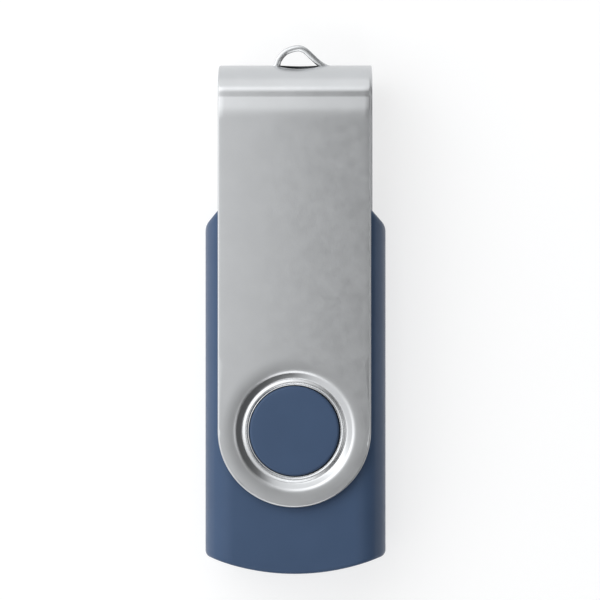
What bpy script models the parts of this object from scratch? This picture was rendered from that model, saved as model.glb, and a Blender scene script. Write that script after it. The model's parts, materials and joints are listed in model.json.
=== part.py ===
"""Swivel USB flash drive, lying on its back.

The drive is a two-shell plastic housing with a USB plug, a circuit board and its components inside, and a
bent sheet-metal cover that turns a full circle about the round bosses on the housing's two faces.

Run it with: blender --background --python part.py

Every part is modelled about the swivel axis: +Y towards the plug, +X across, +Z out of the face with the
cover on top, zero at the middle of the thickness. Two empties then carry the parts to their place, so that
the drive rests on the world's XY plane with the middle of its footprint at the origin.
"""

import math

import bmesh
import bpy
from mathutils import Matrix, Vector

MM = 0.001

# Housing, measured from the swivel axis
BODY_WIDTH = 19.0 * MM
BODY_THICKNESS = 8.6 * MM
NOSE_REACH = 24.6 * MM
SHOULDER_REACH = 21.56 * MM
SHOULDER_ANGLE = math.radians(41)
SHOULDER_RADIUS = 1.6 * MM
NOSE_RADIUS = 0.8 * MM
TAIL_REACH = 15.05 * MM
TAIL_RADIUS = 24.0 * MM
TAIL_CORNER_RADIUS = 0.5 * MM
FACE_HALF_WIDTH = 7.6 * MM
FACE_CROWN = 0.12 * MM
FACE_EDGE_RADIUS = 3.0 * MM
END_EDGE_RADIUS = 0.4 * MM
WALL = 1.2 * MM
PARTING_GAP = 0.12 * MM
LIP_INSET = 0.72 * MM
LIP_HEIGHT = 0.6 * MM
REBATE_INSET = 0.56 * MM
REBATE_DEPTH = 0.8 * MM

# Round bosses that the cover turns on, one on each face of the housing
BOSS_RADIUS = 4.72 * MM
BOSS_TOP = 5.1 * MM
BOSS_EDGE = 0.35 * MM
BOSS_BORE_RADIUS = 3.5 * MM
BOSS_BORE_TOP = 4.1 * MM
GROOVE_FLOOR = 3.4 * MM
GROOVE_RADIUS = 6.35 * MM
GROOVE_FLARE = 0.68
CUP_RADIUS = 7.7 * MM
CUP_BOTTOM = 2.5 * MM

# Swivel cover
SHEET = 0.6 * MM
COVER_HALF_WIDTH = 8.05 * MM
COVER_HALF_THICKNESS = 5.2 * MM
COVER_REACH = 38.5 * MM
NECK_START = 32.8 * MM
NECK_BOTTOM = 35.3 * MM
NECK_DEPTH = 0.26 * MM
ROLL_START = 35.65 * MM
ROLL_HALF_THICKNESS = 4.98 * MM
COVER_HOLE_RADIUS = 4.82 * MM
DISH_RADIUS = 7.5 * MM
EYE_CENTRE_X = 0.42 * MM
EYE_HALF_LENGTH = 2.3 * MM
EYE_CENTRE_Z = 0.8 * MM
EYE_HALF_WIDTH = 1.75 * MM
LOOP_THICKNESS = 0.52 * MM
LOOP_FOOT_THICKNESS = 0.4 * MM
LOOP_WIDTH = 1.3 * MM
LOOP_CENTRE_Z = 0.5 * MM
LOOP_TOP = 40.65 * MM

# USB plug
PLUG_WIDTH = 12.0 * MM
PLUG_HEIGHT = 4.5 * MM
PLUG_SHEET = 0.3 * MM
PLUG_REACH = 36.6 * MM
PLUG_SHELL_BACK = 20.2 * MM
PLUG_CORNER_RADIUS = 0.6 * MM
PLUG_OPENING_GAP = 0.2 * MM
LEG_BACK = 17.4 * MM
WINDOW_X = 2.55 * MM
WINDOW_WIDTH = 2.4 * MM
WINDOW_LENGTH = 2.2 * MM
WINDOW_SETBACK = 6.1 * MM
TONGUE_GAP = 0.12 * MM
TONGUE_FACE_SETBACK = 0.5 * MM
BLOCK_SETBACK = 9.4 * MM
CONTACT_WIDTH = 1.0 * MM
CONTACT_THICKNESS = 0.25 * MM
CONTACT_TOP = -0.05 * MM
CONTACT_BACK = 18.2 * MM
CONTACT_GAP = 0.1 * MM

# Circuit board
BOARD_TOP = -0.35 * MM
BOARD_THICKNESS = 0.8 * MM
BOARD_HALF_WIDTH = 7.1 * MM
BOARD_NECK_HALF_WIDTH = 5.45 * MM
BOARD_BACK = -10.2 * MM
BOARD_SHOULDER = 17.3 * MM
BOARD_FRONT = 19.9 * MM
SEAT_GAP = 0.05 * MM

# Studs that close the housing and posts that hold the board
STUD_PLACES = [
    (x * side, y) for side in (-1, 1) for x, y in ((7.1 * MM, 18.7 * MM), (5.2 * MM, -11.9 * MM))
]
STUD_BASE_RADIUS = 0.95 * MM
STUD_RADIUS = 0.5 * MM
SOCKET_BORE_RADIUS = 0.65 * MM
STUD_TOP = 1.2 * MM
SOCKET_BORE_TOP = 1.6 * MM
POST_PLACES = [(x * side, y) for side in (-1, 1) for x, y in ((6.62 * MM, 16.4 * MM), (6.62 * MM, -9.5 * MM))]
POST_SIZE = (0.76 * MM, 0.9 * MM)
POST_GAP = 0.1 * MM
ROOT_IN_WALL = 3.3 * MM

# The world place of the swivel axis: the drive rests on z = 0, centred over its footprint
AXIS_PLACE = Vector((0, (TAIL_REACH - LOOP_TOP) / 2, COVER_HALF_THICKNESS))

TURN_STEPS = 40
SHARP_ANGLE = math.radians(32)
MERGE = 0.000002

FINISHES = {
    # finish: (base colour, roughness, metallic)
    "blue_plastic": ((0.074, 0.109, 0.173, 1), 0.45, 0.0),
    "satin_steel": ((0.55, 0.56, 0.57, 1), 0.32, 1.0),
    "nickel_plate": ((0.62, 0.61, 0.58, 1), 0.22, 1.0),
    "white_nylon": ((0.80, 0.80, 0.77, 1), 0.5, 0.0),
    "gold_plate": ((0.83, 0.61, 0.27, 1), 0.25, 1.0),
    "green_board": ((0.02, 0.16, 0.06, 1), 0.4, 0.0),
    "black_epoxy": ((0.02, 0.02, 0.022, 1), 0.6, 0.0),
    "ceramic_tan": ((0.42, 0.30, 0.19, 1), 0.5, 0.0),
    "led_resin": ((0.75, 0.78, 0.70, 1), 0.3, 0.0),
}


# --- Scene and materials ------------------------------------------------------------------------------


def clear_scene():
    for obj in list(bpy.data.objects):
        bpy.data.objects.remove(obj)


def new_collection(name):
    collection = bpy.data.collections.new(name)
    bpy.context.scene.collection.children.link(collection)
    return collection


def new_material(name, finish):
    colour, roughness, metallic = FINISHES[finish]
    material = bpy.data.materials.new(name)
    material.use_nodes = True
    shader = material.node_tree.nodes["Principled BSDF"]
    shader.inputs["Base Color"].default_value = colour
    shader.inputs["Roughness"].default_value = roughness
    shader.inputs["Metallic"].default_value = metallic
    material.diffuse_color = colour
    return material


def new_empty(name):
    empty = bpy.data.objects.new(name, None)
    empty.location = AXIS_PLACE
    PARTS.objects.link(empty)
    return empty


def object_from_mesh(name, mesh, collection):
    obj = bpy.data.objects.new(name, mesh)
    collection.objects.link(obj)
    return obj


def as_cutter(obj, axis):
    """Moves a helper into the cutters' collection, hides it from renders and lets it follow the axis."""
    for collection in list(obj.users_collection):
        collection.objects.unlink(obj)
    CUTTERS.objects.link(obj)
    obj.hide_render = True
    obj.display_type = "WIRE"
    obj.parent = axis
    return obj


def as_part(obj, axis, finish):
    """Puts a finished part in its collection and on its axis, with a material of its own."""
    for collection in list(obj.users_collection):
        collection.objects.unlink(obj)
    PARTS.objects.link(obj)
    obj.parent = axis
    obj.data.materials.clear()
    obj.data.materials.append(new_material(f"{obj.name}_{finish}", finish))
    shading = obj.modifiers.new("shading", "NODES")
    shading.node_group = SHADING
    return obj


def smooth_by_angle():
    """A node group that shades a mesh smooth and leaves the edges that turn past SHARP_ANGLE sharp."""
    group = bpy.data.node_groups.new("smooth_by_angle", "GeometryNodeTree")
    for in_out in ("INPUT", "OUTPUT"):
        group.interface.new_socket("Geometry", in_out=in_out, socket_type="NodeSocketGeometry")
    nodes, links = group.nodes, group.links
    source = nodes.new("NodeGroupInput")
    angle = nodes.new("GeometryNodeInputMeshEdgeAngle")
    blunt = nodes.new("FunctionNodeCompare")
    blunt.operation = "LESS_THAN"
    blunt.inputs["B"].default_value = SHARP_ANGLE
    faces = nodes.new("GeometryNodeSetShadeSmooth")
    faces.domain = "FACE"
    edges = nodes.new("GeometryNodeSetShadeSmooth")
    edges.domain = "EDGE"
    result = nodes.new("NodeGroupOutput")
    links.new(source.outputs["Geometry"], faces.inputs["Geometry"])
    links.new(faces.outputs["Geometry"], edges.inputs["Geometry"])
    links.new(angle.outputs["Unsigned Angle"], blunt.inputs["A"])
    links.new(blunt.outputs["Result"], edges.inputs["Shade Smooth"])
    links.new(edges.outputs["Geometry"], result.inputs["Geometry"])
    return group


# --- Shapes -------------------------------------------------------------------------------------------


def rounded(corners, steps=4):
    """The outline through corners (x, y, radius), with each radius above zero drawn as an arc."""
    points = []
    for i, (x, y, radius) in enumerate(corners):
        here = Vector((x, y))
        if radius == 0:
            points.append(here)
            continue
        before = (Vector(corners[i - 1][:2]) - here).normalized()
        after = (Vector(corners[(i + 1) % len(corners)][:2]) - here).normalized()
        half = before.angle(after) / 2
        centre = here + (before + after).normalized() * radius / math.sin(half)
        start = here + before * radius / math.tan(half) - centre
        end = here + after * radius / math.tan(half) - centre
        turn = start.angle_signed(end)
        for step in range(steps + 1):
            points.append(centre + Matrix.Rotation(-turn * step / steps, 2) @ start)
    return [(p.x, p.y) for p in points]


def plate(name, outline, low, high, along="Z"):
    """A flat outline drawn thick from low to high along an axis. The outline's two numbers are x and y for
    Z, x and z for Y, and y and z for X."""
    curve = bpy.data.curves.new(name, "CURVE")
    curve.dimensions = "2D"
    curve.fill_mode = "BOTH"
    curve.extrude = (high - low) / 2
    spline = curve.splines.new("POLY")
    spline.points.add(len(outline) - 1)
    for point, (u, v) in zip(spline.points, outline):
        point.co = (u, v, 0, 1)
    spline.use_cyclic_u = True
    guide = object_from_mesh(name + "_outline", curve, CUTTERS)
    bpy.context.view_layer.update()
    graph = bpy.context.evaluated_depsgraph_get()
    mesh = bpy.data.meshes.new_from_object(guide.evaluated_get(graph))
    bpy.data.objects.remove(guide)
    middle = (low + high) / 2
    to_x = Matrix(((0, 0, 1, 0), (1, 0, 0, 0), (0, 1, 0, 0), (0, 0, 0, 1)))
    turns = {
        "Z": Matrix.Translation((0, 0, middle)),
        "Y": Matrix.Translation((0, middle, 0)) @ Matrix.Rotation(math.pi / 2, 4, "X"),
        "X": Matrix.Translation((middle, 0, 0)) @ to_x,
    }
    mesh.transform(turns[along])
    edit = bmesh.new()
    edit.from_mesh(mesh)
    bmesh.ops.remove_doubles(edit, verts=edit.verts, dist=MERGE)
    bmesh.ops.recalc_face_normals(edit, faces=edit.faces)
    edit.to_mesh(mesh)
    edit.free()
    return object_from_mesh(name, mesh, PARTS)


def box(name, low, high):
    bpy.ops.mesh.primitive_cube_add(size=1)
    obj = bpy.context.object
    obj.name = name
    size = Vector(high) - Vector(low)
    obj.data.transform(Matrix.Translation((Vector(low) + Vector(high)) / 2) @ Matrix.Diagonal((*size, 1)))
    return obj


def cylinder(name, radius, low, high, x=0.0, y=0.0, vertices=16, top_radius=None):
    """A cylinder along Z, or a cone if top_radius is given."""
    bpy.ops.mesh.primitive_cone_add(
        vertices=vertices,
        radius1=radius,
        radius2=radius if top_radius is None else top_radius,
        depth=high - low,
    )
    obj = bpy.context.object
    obj.name = name
    obj.data.transform(Matrix.Translation((x, y, (low + high) / 2)))
    return obj


def turned(name, profile, steps=TURN_STEPS):
    """A closed profile of (radius, height), drawn down its outer side, turned about Z by a Screw modifier."""
    mesh = bpy.data.meshes.new(name)
    edges = [(i, i + 1) for i in range(len(profile) - 1)]
    mesh.from_pydata([(r, 0, z) for r, z in profile], edges, [])
    obj = object_from_mesh(name, mesh, PARTS)
    screw = obj.modifiers.new("turn", "SCREW")
    screw.axis = "Z"
    screw.steps = steps
    screw.render_steps = steps
    screw.use_merge_vertices = True
    screw.merge_threshold = MERGE
    return obj


def boolean(obj, other, operation, axis):
    as_cutter(other, axis)
    modifier = obj.modifiers.new(operation.lower(), "BOOLEAN")
    modifier.operation = operation
    modifier.object = other
    return obj


# --- Housing ------------------------------------------------------------------------------------------


def housing_plan(inset):
    """The housing seen from above: straight sides, slanting shoulders, flat nose and an arched tail."""
    half = BODY_WIDTH / 2 - inset
    nose_half = BODY_WIDTH / 2 - (NOSE_REACH - SHOULDER_REACH) * math.tan(SHOULDER_ANGLE)
    nose_half -= inset * (1 - math.sin(SHOULDER_ANGLE)) / math.cos(SHOULDER_ANGLE)
    shoulder = SHOULDER_REACH - inset * (1 - math.cos(SHOULDER_ANGLE)) / math.sin(SHOULDER_ANGLE)
    radius = TAIL_RADIUS - inset
    arc_centre = TAIL_RADIUS - TAIL_REACH
    steps = 12
    last = math.asin(half / radius)
    tail = []
    for step in range(1, steps):
        angle = last * (2 * step / steps - 1)
        tail.append((radius * math.sin(angle), arc_centre - radius * math.cos(angle), 0))
    corner = arc_centre - radius * math.cos(last)
    return rounded(
        [
            (-half, corner, TAIL_CORNER_RADIUS),
            *tail,
            (half, corner, TAIL_CORNER_RADIUS),
            (half, shoulder, SHOULDER_RADIUS),
            (nose_half, NOSE_REACH - inset, NOSE_RADIUS),
            (-nose_half, NOSE_REACH - inset, NOSE_RADIUS),
            (-half, shoulder, SHOULDER_RADIUS),
        ],
        steps=3,
    )


def housing_section(inset):
    """The housing cut across: two slightly crowned faces joined by bulging sides."""
    half = BODY_WIDTH / 2 - inset
    face_half = FACE_HALF_WIDTH - inset * 0.6
    height = BODY_THICKNESS / 2 - inset
    edge = height - FACE_CROWN
    radius = ((half - face_half) ** 2 + edge**2) / (2 * (half - face_half))
    reach = math.asin(edge / radius)
    steps = 5
    side = []
    for step in range(2 - steps, steps - 1):
        angle = reach * step / steps
        side.append((half - radius + radius * math.cos(angle), radius * math.sin(angle), 0))
    face = []
    for share in (0.5, 0, -0.5):
        face.append((face_half * share, height - FACE_CROWN * share**2, 0))
    right = [(face_half, -edge, FACE_EDGE_RADIUS), *side, (face_half, edge, FACE_EDGE_RADIUS), *face]
    left = [(-x, -y, r) for x, y, r in right]
    return rounded(right + left, steps=3)


def housing_form(name, inset, axis, edge_radius=0.0):
    """The whole housing's outer form taken in by inset: its plan and its section, intersected."""
    height = BODY_THICKNESS / 2 - inset
    form = plate(name, housing_plan(inset), -height, height)
    if edge_radius:
        bevel = form.modifiers.new("end_edges", "BEVEL")
        bevel.width = edge_radius
        bevel.segments = 3
        bevel.limit_method = "ANGLE"
        bevel.angle_limit = math.radians(60)
    section = plate(name + "_section", housing_section(inset), -TAIL_REACH * 2, NOSE_REACH * 2, "Y")
    boolean(form, section, "INTERSECT", axis)
    return form


def boss_cup(name):
    """The round boss, the groove round it and the cup that carries both, as one turned solid."""
    edge = BOSS_EDGE
    arc = []
    for step in range(4):
        angle = math.pi / 2 * (1 - step / 3)
        arc.append((BOSS_RADIUS - edge + edge * math.cos(angle), BOSS_TOP - edge + edge * math.sin(angle)))
    return turned(
        name,
        [
            (0, BOSS_TOP),
            *arc,
            (BOSS_RADIUS, GROOVE_FLOOR),
            (CUP_RADIUS, GROOVE_FLOOR),
            (CUP_RADIUS, CUP_BOTTOM),
            (BOSS_BORE_RADIUS, CUP_BOTTOM),
            (BOSS_BORE_RADIUS, BOSS_BORE_TOP),
            (0, BOSS_BORE_TOP),
        ],
    )


def groove_cutter(name):
    """A flared hole through the face, whose wall is the outer side of the groove."""
    low, high = CUP_BOTTOM - 0.5 * MM, BOSS_TOP + 0.5 * MM
    cutter = cylinder(
        name,
        GROOVE_RADIUS + (low - GROOVE_FLOOR) * GROOVE_FLARE,
        low,
        high,
        top_radius=GROOVE_RADIUS + (high - GROOVE_FLOOR) * GROOVE_FLARE,
        vertices=TURN_STEPS,
    )
    # Half a step's turn keeps its corners off the edges of the cup's floor
    cutter.data.transform(Matrix.Rotation(math.pi / TURN_STEPS, 4, "Z"))
    return cutter


def plug_opening(name):
    half_width = PLUG_WIDTH / 2 + PLUG_OPENING_GAP
    half_height = PLUG_HEIGHT / 2 + PLUG_OPENING_GAP
    low = (-half_width, NOSE_REACH - 3 * WALL, -half_height)
    return box(name, low, (half_width, NOSE_REACH * 2, half_height))


def half_space(name, low, high):
    reach = BODY_WIDTH * 3
    return box(name, (-reach, -reach, low), (reach, reach, high))


def housing_shell(name, axis, is_front):
    """One half of the housing, with its face towards +Z. The rear half is turned over at the end."""
    shell = housing_form(name, 0, axis, END_EDGE_RADIUS)
    boolean(shell, half_space(name + "_below", -BODY_WIDTH, PARTING_GAP / 2), "DIFFERENCE", axis)
    boolean(shell, housing_form(name + "_cavity", WALL, axis), "DIFFERENCE", axis)
    if is_front:
        rebate = housing_form(name + "_rebate", REBATE_INSET, axis)
        boolean(rebate, half_space(name + "_rebate_top", REBATE_DEPTH, BODY_WIDTH), "DIFFERENCE", axis)
        boolean(shell, rebate, "DIFFERENCE", axis)
    else:
        lip = housing_form(name + "_lip", LIP_INSET, axis)
        boolean(lip, half_space(name + "_lip_top", 2 * PARTING_GAP, BODY_WIDTH), "DIFFERENCE", axis)
        boolean(lip, half_space(name + "_lip_end", -BODY_WIDTH, -LIP_HEIGHT), "DIFFERENCE", axis)
        boolean(lip, housing_form(name + "_lip_inside", WALL, axis), "DIFFERENCE", axis)
        boolean(shell, lip, "UNION", axis)
    boolean(shell, groove_cutter(name + "_groove"), "DIFFERENCE", axis)
    boolean(shell, boss_cup(name + "_cup"), "UNION", axis)
    add_posts(shell, name, axis, is_front)
    add_studs(shell, name, axis, is_front)
    boolean(shell, plug_opening(name + "_opening"), "DIFFERENCE", axis)
    as_part(shell, axis, "blue_plastic")
    if not is_front:
        turn_over(shell)
    return shell


def add_posts(shell, name, axis, is_front):
    """Four short posts that reach the board's face, with a small gap left to it."""
    board_face = BOARD_TOP + POST_GAP if is_front else BOARD_THICKNESS - BOARD_TOP + POST_GAP
    half_x, half_y = POST_SIZE[0] / 2, POST_SIZE[1] / 2
    for i, (x, y) in enumerate(POST_PLACES):
        low = max(board_face, PARTING_GAP / 2)
        post = box(f"{name}_post_{i}", (x - half_x, y - half_y, low), (x + half_x, y + half_y, ROOT_IN_WALL))
        boolean(shell, post, "UNION", axis)


def add_studs(shell, name, axis, is_front):
    """Sockets on the front half, and studs that push into them on the rear half."""
    for i, (x, y) in enumerate(STUD_PLACES):
        base = cylinder(f"{name}_stud_base_{i}", STUD_BASE_RADIUS, 2 * PARTING_GAP, ROOT_IN_WALL, x, y)
        boolean(shell, base, "UNION", axis)
        if is_front:
            bore = cylinder(f"{name}_bore_{i}", SOCKET_BORE_RADIUS, 0, SOCKET_BORE_TOP, x, y)
            boolean(shell, bore, "DIFFERENCE", axis)
        else:
            stud = cylinder(f"{name}_stud_{i}", STUD_RADIUS, -STUD_TOP, ROOT_IN_WALL, x, y)
            boolean(shell, stud, "UNION", axis)


def turn_over(obj):
    """Turns a finished half over about the Y axis, with the helpers that shape it."""
    helpers = {modifier.object for modifier in obj.modifiers if modifier.type == "BOOLEAN"}
    while True:
        found = {m.object for helper in helpers for m in helper.modifiers if m.type == "BOOLEAN"}
        if found <= helpers:
            break
        helpers |= found
    for item in (obj, *helpers):
        item.rotation_euler = (0, math.pi, 0)


# --- Swivel cover -------------------------------------------------------------------------------------


def ease(share):
    return share * share * (3 - 2 * share)


def dish_profile():
    """(radius, height below the face) of the dished seat round the cover's hole, from its rim outwards."""
    points = [
        (4.82, 0.5),
        (5.25, 0.44),
        (5.58, 0.54),
        (6.1, 0.13),
        (6.4, 0.05),
        (7.5, 0.0),
    ]
    return [(r * MM, depth * MM) for r, depth in points]


def cover_side_profile():
    """(y, z) of the cover's outer face from the end of the seat to the middle of the bend."""
    points = []
    for step in range(4):
        share = step / 3
        y = NECK_START + (NECK_BOTTOM - NECK_START) * share
        points.append((y, COVER_HALF_THICKNESS - NECK_DEPTH * ease(share)))
    roll = COVER_REACH - ROLL_START
    steps = 8
    for step in range(steps + 1):
        angle = math.pi / 2 * step / steps
        points.append((ROLL_START + roll * math.sin(angle), ROLL_HALF_THICKNESS * math.cos(angle)))
    points[-1] = (COVER_REACH, 0.0)
    return points


def cover_edge_point(angle):
    """The cover's outline round its seat: a half circle at the tail and square corners towards the plug."""
    across, along = math.cos(angle), math.sin(angle)
    reach = COVER_HALF_WIDTH
    if along > 0:
        reach /= max(abs(across), along)
    return Vector((across * reach, along * reach, COVER_HALF_THICKNESS))


def grow(edit, edges, place):
    """Extrudes edges and moves each new corner to place(its position). Returns the new outer edges."""
    grown = bmesh.ops.extrude_edge_only(edit, edges=edges)["geom"]
    outer = [item for item in grown if isinstance(item, bmesh.types.BMEdge)]
    for vert in {v for e in outer for v in e.verts}:
        vert.co = place(vert.co)
    return outer


def cover_arm(name):
    """The outer face of half the cover as an open surface: seat, arm, neck and half the bend."""
    edit = bmesh.new()
    profile = [edit.verts.new((r, 0, COVER_HALF_THICKNESS - depth)) for r, depth in dish_profile()]
    edges = [edit.edges.new(pair) for pair in zip(profile, profile[1:])]
    bmesh.ops.spin(
        edit,
        geom=profile + edges,
        axis=(0, 0, 1),
        cent=(0, 0, 0),
        angle=2 * math.pi,
        steps=TURN_STEPS,
        use_merge=True,
    )
    bmesh.ops.remove_doubles(edit, verts=edit.verts, dist=MERGE)
    rim = [e for e in edit.edges if e.is_boundary and e.verts[0].co.xy.length > DISH_RADIUS - MERGE]
    border = grow(edit, rim, lambda co: cover_edge_point(math.atan2(co.y, co.x)))
    front = [e for e in border if all(v.co.y > COVER_HALF_WIDTH - MERGE for v in e.verts)]
    for y, z in cover_side_profile():
        front = grow(edit, front, lambda co: Vector((co.x, y, z)))
    bmesh.ops.recalc_face_normals(edit, faces=edit.faces)
    edit.normal_update()
    if sum(f.normal.z for f in edit.faces) < 0:
        bmesh.ops.reverse_faces(edit, faces=edit.faces)
    mesh = bpy.data.meshes.new(name)
    edit.to_mesh(mesh)
    edit.free()
    return object_from_mesh(name, mesh, PARTS)


def smooth_path(points, steps):
    """A Catmull-Rom curve through the points."""
    path = []
    count = len(points)
    for i in range(count - 1):
        near = [points[min(max(k, 0), count - 1)] for k in (i - 1, i, i + 1, i + 2)]
        before, here, there, after = (Vector(point) for point in near)
        for step in range(steps):
            t = step / steps
            path.append(
                0.5
                * (
                    2 * here
                    + (there - before) * t
                    + (2 * before - 5 * here + 4 * there - after) * t**2
                    + (3 * here - before - 3 * there + after) * t**3
                )
            )
    path.append(Vector(points[-1]))
    return path


def loop_strip(name):
    """The key-ring loop: a narrow strip of the sheet pushed out over the eye, steep on its left side."""
    route = [
        (-3.1, 38.19),
        (-2.35, 38.21),
        (-1.82, 38.58),
        (-1.62, 39.2),
        (-0.95, 39.98),
        (0.2, 40.39),
        (0.95, 40.12),
        (1.7, 39.45),
        (2.5, 38.72),
        (3.4, 38.27),
        (4.2, 38.19),
    ]
    path = smooth_path([(x * MM, y * MM) for x, y in route], 3)
    left, right = [], []
    for i, here in enumerate(path):
        along = path[min(i + 1, len(path) - 1)] - path[max(i - 1, 0)]
        normal = Vector((-along.y, along.x)).normalized()
        from_end = min(i, len(path) - 1 - i) / 6
        width = LOOP_FOOT_THICKNESS + (LOOP_THICKNESS - LOOP_FOOT_THICKNESS) * ease(min(1, from_end))
        left.append(here + normal * width / 2)
        right.append(here - normal * width / 2)
    outline = [(p.x, p.y) for p in left + right[::-1]]
    return plate(name, outline, LOOP_CENTRE_Z - LOOP_WIDTH / 2, LOOP_CENTRE_Z + LOOP_WIDTH / 2)


def eye_cutter(name):
    """The oval eye under the loop, cut down through the bend, nearer its front."""
    steps = 20
    outline = []
    for step in range(steps):
        angle = 2 * math.pi * step / steps
        x = EYE_CENTRE_X + EYE_HALF_LENGTH * math.cos(angle)
        outline.append((x, EYE_CENTRE_Z + EYE_HALF_WIDTH * math.sin(angle)))
    return plate(name, outline, ROLL_START - 1 * MM, LOOP_TOP + 1 * MM, "Y")


def swivel_cover(axis):
    cover = cover_arm("swivel_cover")
    mirror = cover.modifiers.new("other_arm", "MIRROR")
    mirror.use_axis = (False, False, True)
    mirror.merge_threshold = MERGE
    sheet = cover.modifiers.new("sheet", "SOLIDIFY")
    sheet.thickness = SHEET
    sheet.offset = -1
    sheet.use_even_offset = True
    boolean(cover, eye_cutter("cover_eye"), "DIFFERENCE", axis)
    boolean(cover, loop_strip("cover_loop"), "UNION", axis)
    return as_part(cover, axis, "satin_steel")


# --- USB plug -----------------------------------------------------------------------------------------


def plug_section(inset):
    half_width, half_height = PLUG_WIDTH / 2 - inset, PLUG_HEIGHT / 2 - inset
    radius = PLUG_CORNER_RADIUS - inset
    quarters = ((1, -1), (1, 1), (-1, 1), (-1, -1))
    return rounded([(x * half_width, z * half_height, radius) for x, z in quarters])


def plug_shell(axis):
    """The folded metal shell with its four latch windows and the two legs that hold it to the board."""
    shell = plate("plug_shell", plug_section(0), PLUG_SHELL_BACK, PLUG_REACH, "Y")
    back, front = PLUG_SHELL_BACK - 1 * MM, PLUG_REACH + 1 * MM
    hollow = plate("plug_hollow", plug_section(PLUG_SHEET), back, front, "Y")
    boolean(shell, hollow, "DIFFERENCE", axis)
    window_y = PLUG_REACH - WINDOW_SETBACK
    for side in (-1, 1):
        x = side * WINDOW_X
        window = box(
            f"plug_window_{side}",
            (x - WINDOW_WIDTH / 2, window_y - WINDOW_LENGTH / 2, -PLUG_HEIGHT),
            (x + WINDOW_WIDTH / 2, window_y + WINDOW_LENGTH / 2, PLUG_HEIGHT),
        )
        boolean(shell, window, "DIFFERENCE", axis)
        outer, inner = side * PLUG_WIDTH / 2, side * (PLUG_WIDTH / 2 - PLUG_SHEET)
        leg = plate(
            f"plug_leg_{side}",
            [
                (LEG_BACK, -2.0 * MM),
                (LEG_BACK + 1.6 * MM, -2.0 * MM),
                (LEG_BACK + 1.6 * MM, -1.2 * MM),
                (PLUG_SHELL_BACK + 0.6 * MM, -1.2 * MM),
                (PLUG_SHELL_BACK + 0.6 * MM, 1.0 * MM),
                (LEG_BACK, 0.6 * MM),
            ],
            min(outer, inner),
            max(outer, inner),
            "X",
        )
        boolean(shell, leg, "UNION", axis)
    return as_part(shell, axis, "nickel_plate")


def contact_places():
    """(name, x, front end) of the four contacts: the outer two reach a millimetre further forward."""
    return [
        ("contact_power", -3.5 * MM, PLUG_REACH - 1.4 * MM),
        ("contact_data_minus", -1.0 * MM, PLUG_REACH - 2.4 * MM),
        ("contact_data_plus", 1.0 * MM, PLUG_REACH - 2.4 * MM),
        ("contact_ground", 3.5 * MM, PLUG_REACH - 1.4 * MM),
    ]


def plug_tongue(axis):
    """The moulded insulator: a block that fills the shell's back and a tongue with four contact grooves."""
    height = PLUG_HEIGHT / 2 - PLUG_SHEET - TONGUE_GAP
    half_width = PLUG_WIDTH / 2 - PLUG_SHEET - TONGUE_GAP
    back, front = PLUG_SHELL_BACK + 0.15 * MM, PLUG_REACH - TONGUE_FACE_SETBACK
    block = PLUG_REACH - BLOCK_SETBACK
    outline = [(back, -height), (front, -height), (front, 0), (block, 0), (block, height), (back, height)]
    tongue = plate("plug_tongue", outline, -half_width, half_width, "X")
    for name, x, contact_front in contact_places():
        half = CONTACT_WIDTH / 2 + CONTACT_GAP
        low = CONTACT_TOP - CONTACT_THICKNESS - CONTACT_GAP
        end = (x + half, contact_front + CONTACT_GAP, 0.03 * MM)
        groove = box(name + "_groove", (x - half, back - 1 * MM, low), end)
        boolean(tongue, groove, "DIFFERENCE", axis)
    return as_part(tongue, axis, "white_nylon")


def contacts(axis):
    for name, x, front in contact_places():
        low = (x - CONTACT_WIDTH / 2, CONTACT_BACK, CONTACT_TOP - CONTACT_THICKNESS)
        high = (x + CONTACT_WIDTH / 2, front, CONTACT_TOP)
        as_part(box(name, low, high), axis, "gold_plate")


# --- Circuit board and components ---------------------------------------------------------------------


def circuit_board(axis):
    """The board, narrower where it slips between the plug's legs."""
    wide, narrow = BOARD_HALF_WIDTH, BOARD_NECK_HALF_WIDTH
    outline = rounded(
        [
            (-wide, BOARD_BACK, 0.8 * MM),
            (wide, BOARD_BACK, 0.8 * MM),
            (wide, BOARD_SHOULDER, 0.3 * MM),
            (narrow, BOARD_SHOULDER, 0),
            (narrow, BOARD_FRONT, 0.3 * MM),
            (-narrow, BOARD_FRONT, 0.3 * MM),
            (-narrow, BOARD_SHOULDER, 0),
            (-wide, BOARD_SHOULDER, 0.3 * MM),
        ]
    )
    board = plate("circuit_board", outline, BOARD_TOP - BOARD_THICKNESS, BOARD_TOP)
    return as_part(board, axis, "green_board")


def chip(name, axis, centre, body, lead_rows, on_top):
    """A moulded package with flat-footed leads. lead_rows holds (side, count, pitch, reach): side is the
    outward direction of the row, and reach is how far the leads stand out of the package."""
    x, y = centre
    width, length, height = body
    seat = BOARD_TOP + SEAT_GAP if on_top else BOARD_TOP - BOARD_THICKNESS - SEAT_GAP
    away = 1 if on_top else -1
    ends = sorted((seat + away * 0.05 * MM, seat + away * height))
    package = box(name, (x - width / 2, y - length / 2, ends[0]), (x + width / 2, y + length / 2, ends[1]))
    for row, (side, count, pitch, reach) in enumerate(lead_rows):
        across = Vector((side[1], side[0]))
        outward = Vector(side)
        root = Vector(centre) + outward * (abs(side[0]) * width + abs(side[1]) * length) / 2
        first = root - across * pitch * (count - 1) / 2
        edge = across * pitch / 4
        corners = [first - outward * 0.3 * MM - edge, first + outward * reach + edge]
        low_xy, high_xy = ((op(c.x for c in corners), op(c.y for c in corners)) for op in (min, max))
        foot = sorted((seat, seat + away * 0.17 * MM))
        lead = box(f"{name}_leads_{row}", (*low_xy, foot[0]), (*high_xy, foot[1]))
        array = lead.modifiers.new("row", "ARRAY")
        array.count = count
        array.use_relative_offset = False
        array.use_constant_offset = True
        array.constant_offset_displace = (across.x * pitch, across.y * pitch, 0)
        boolean(package, lead, "UNION", axis)
    return as_part(package, axis, "black_epoxy")


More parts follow.
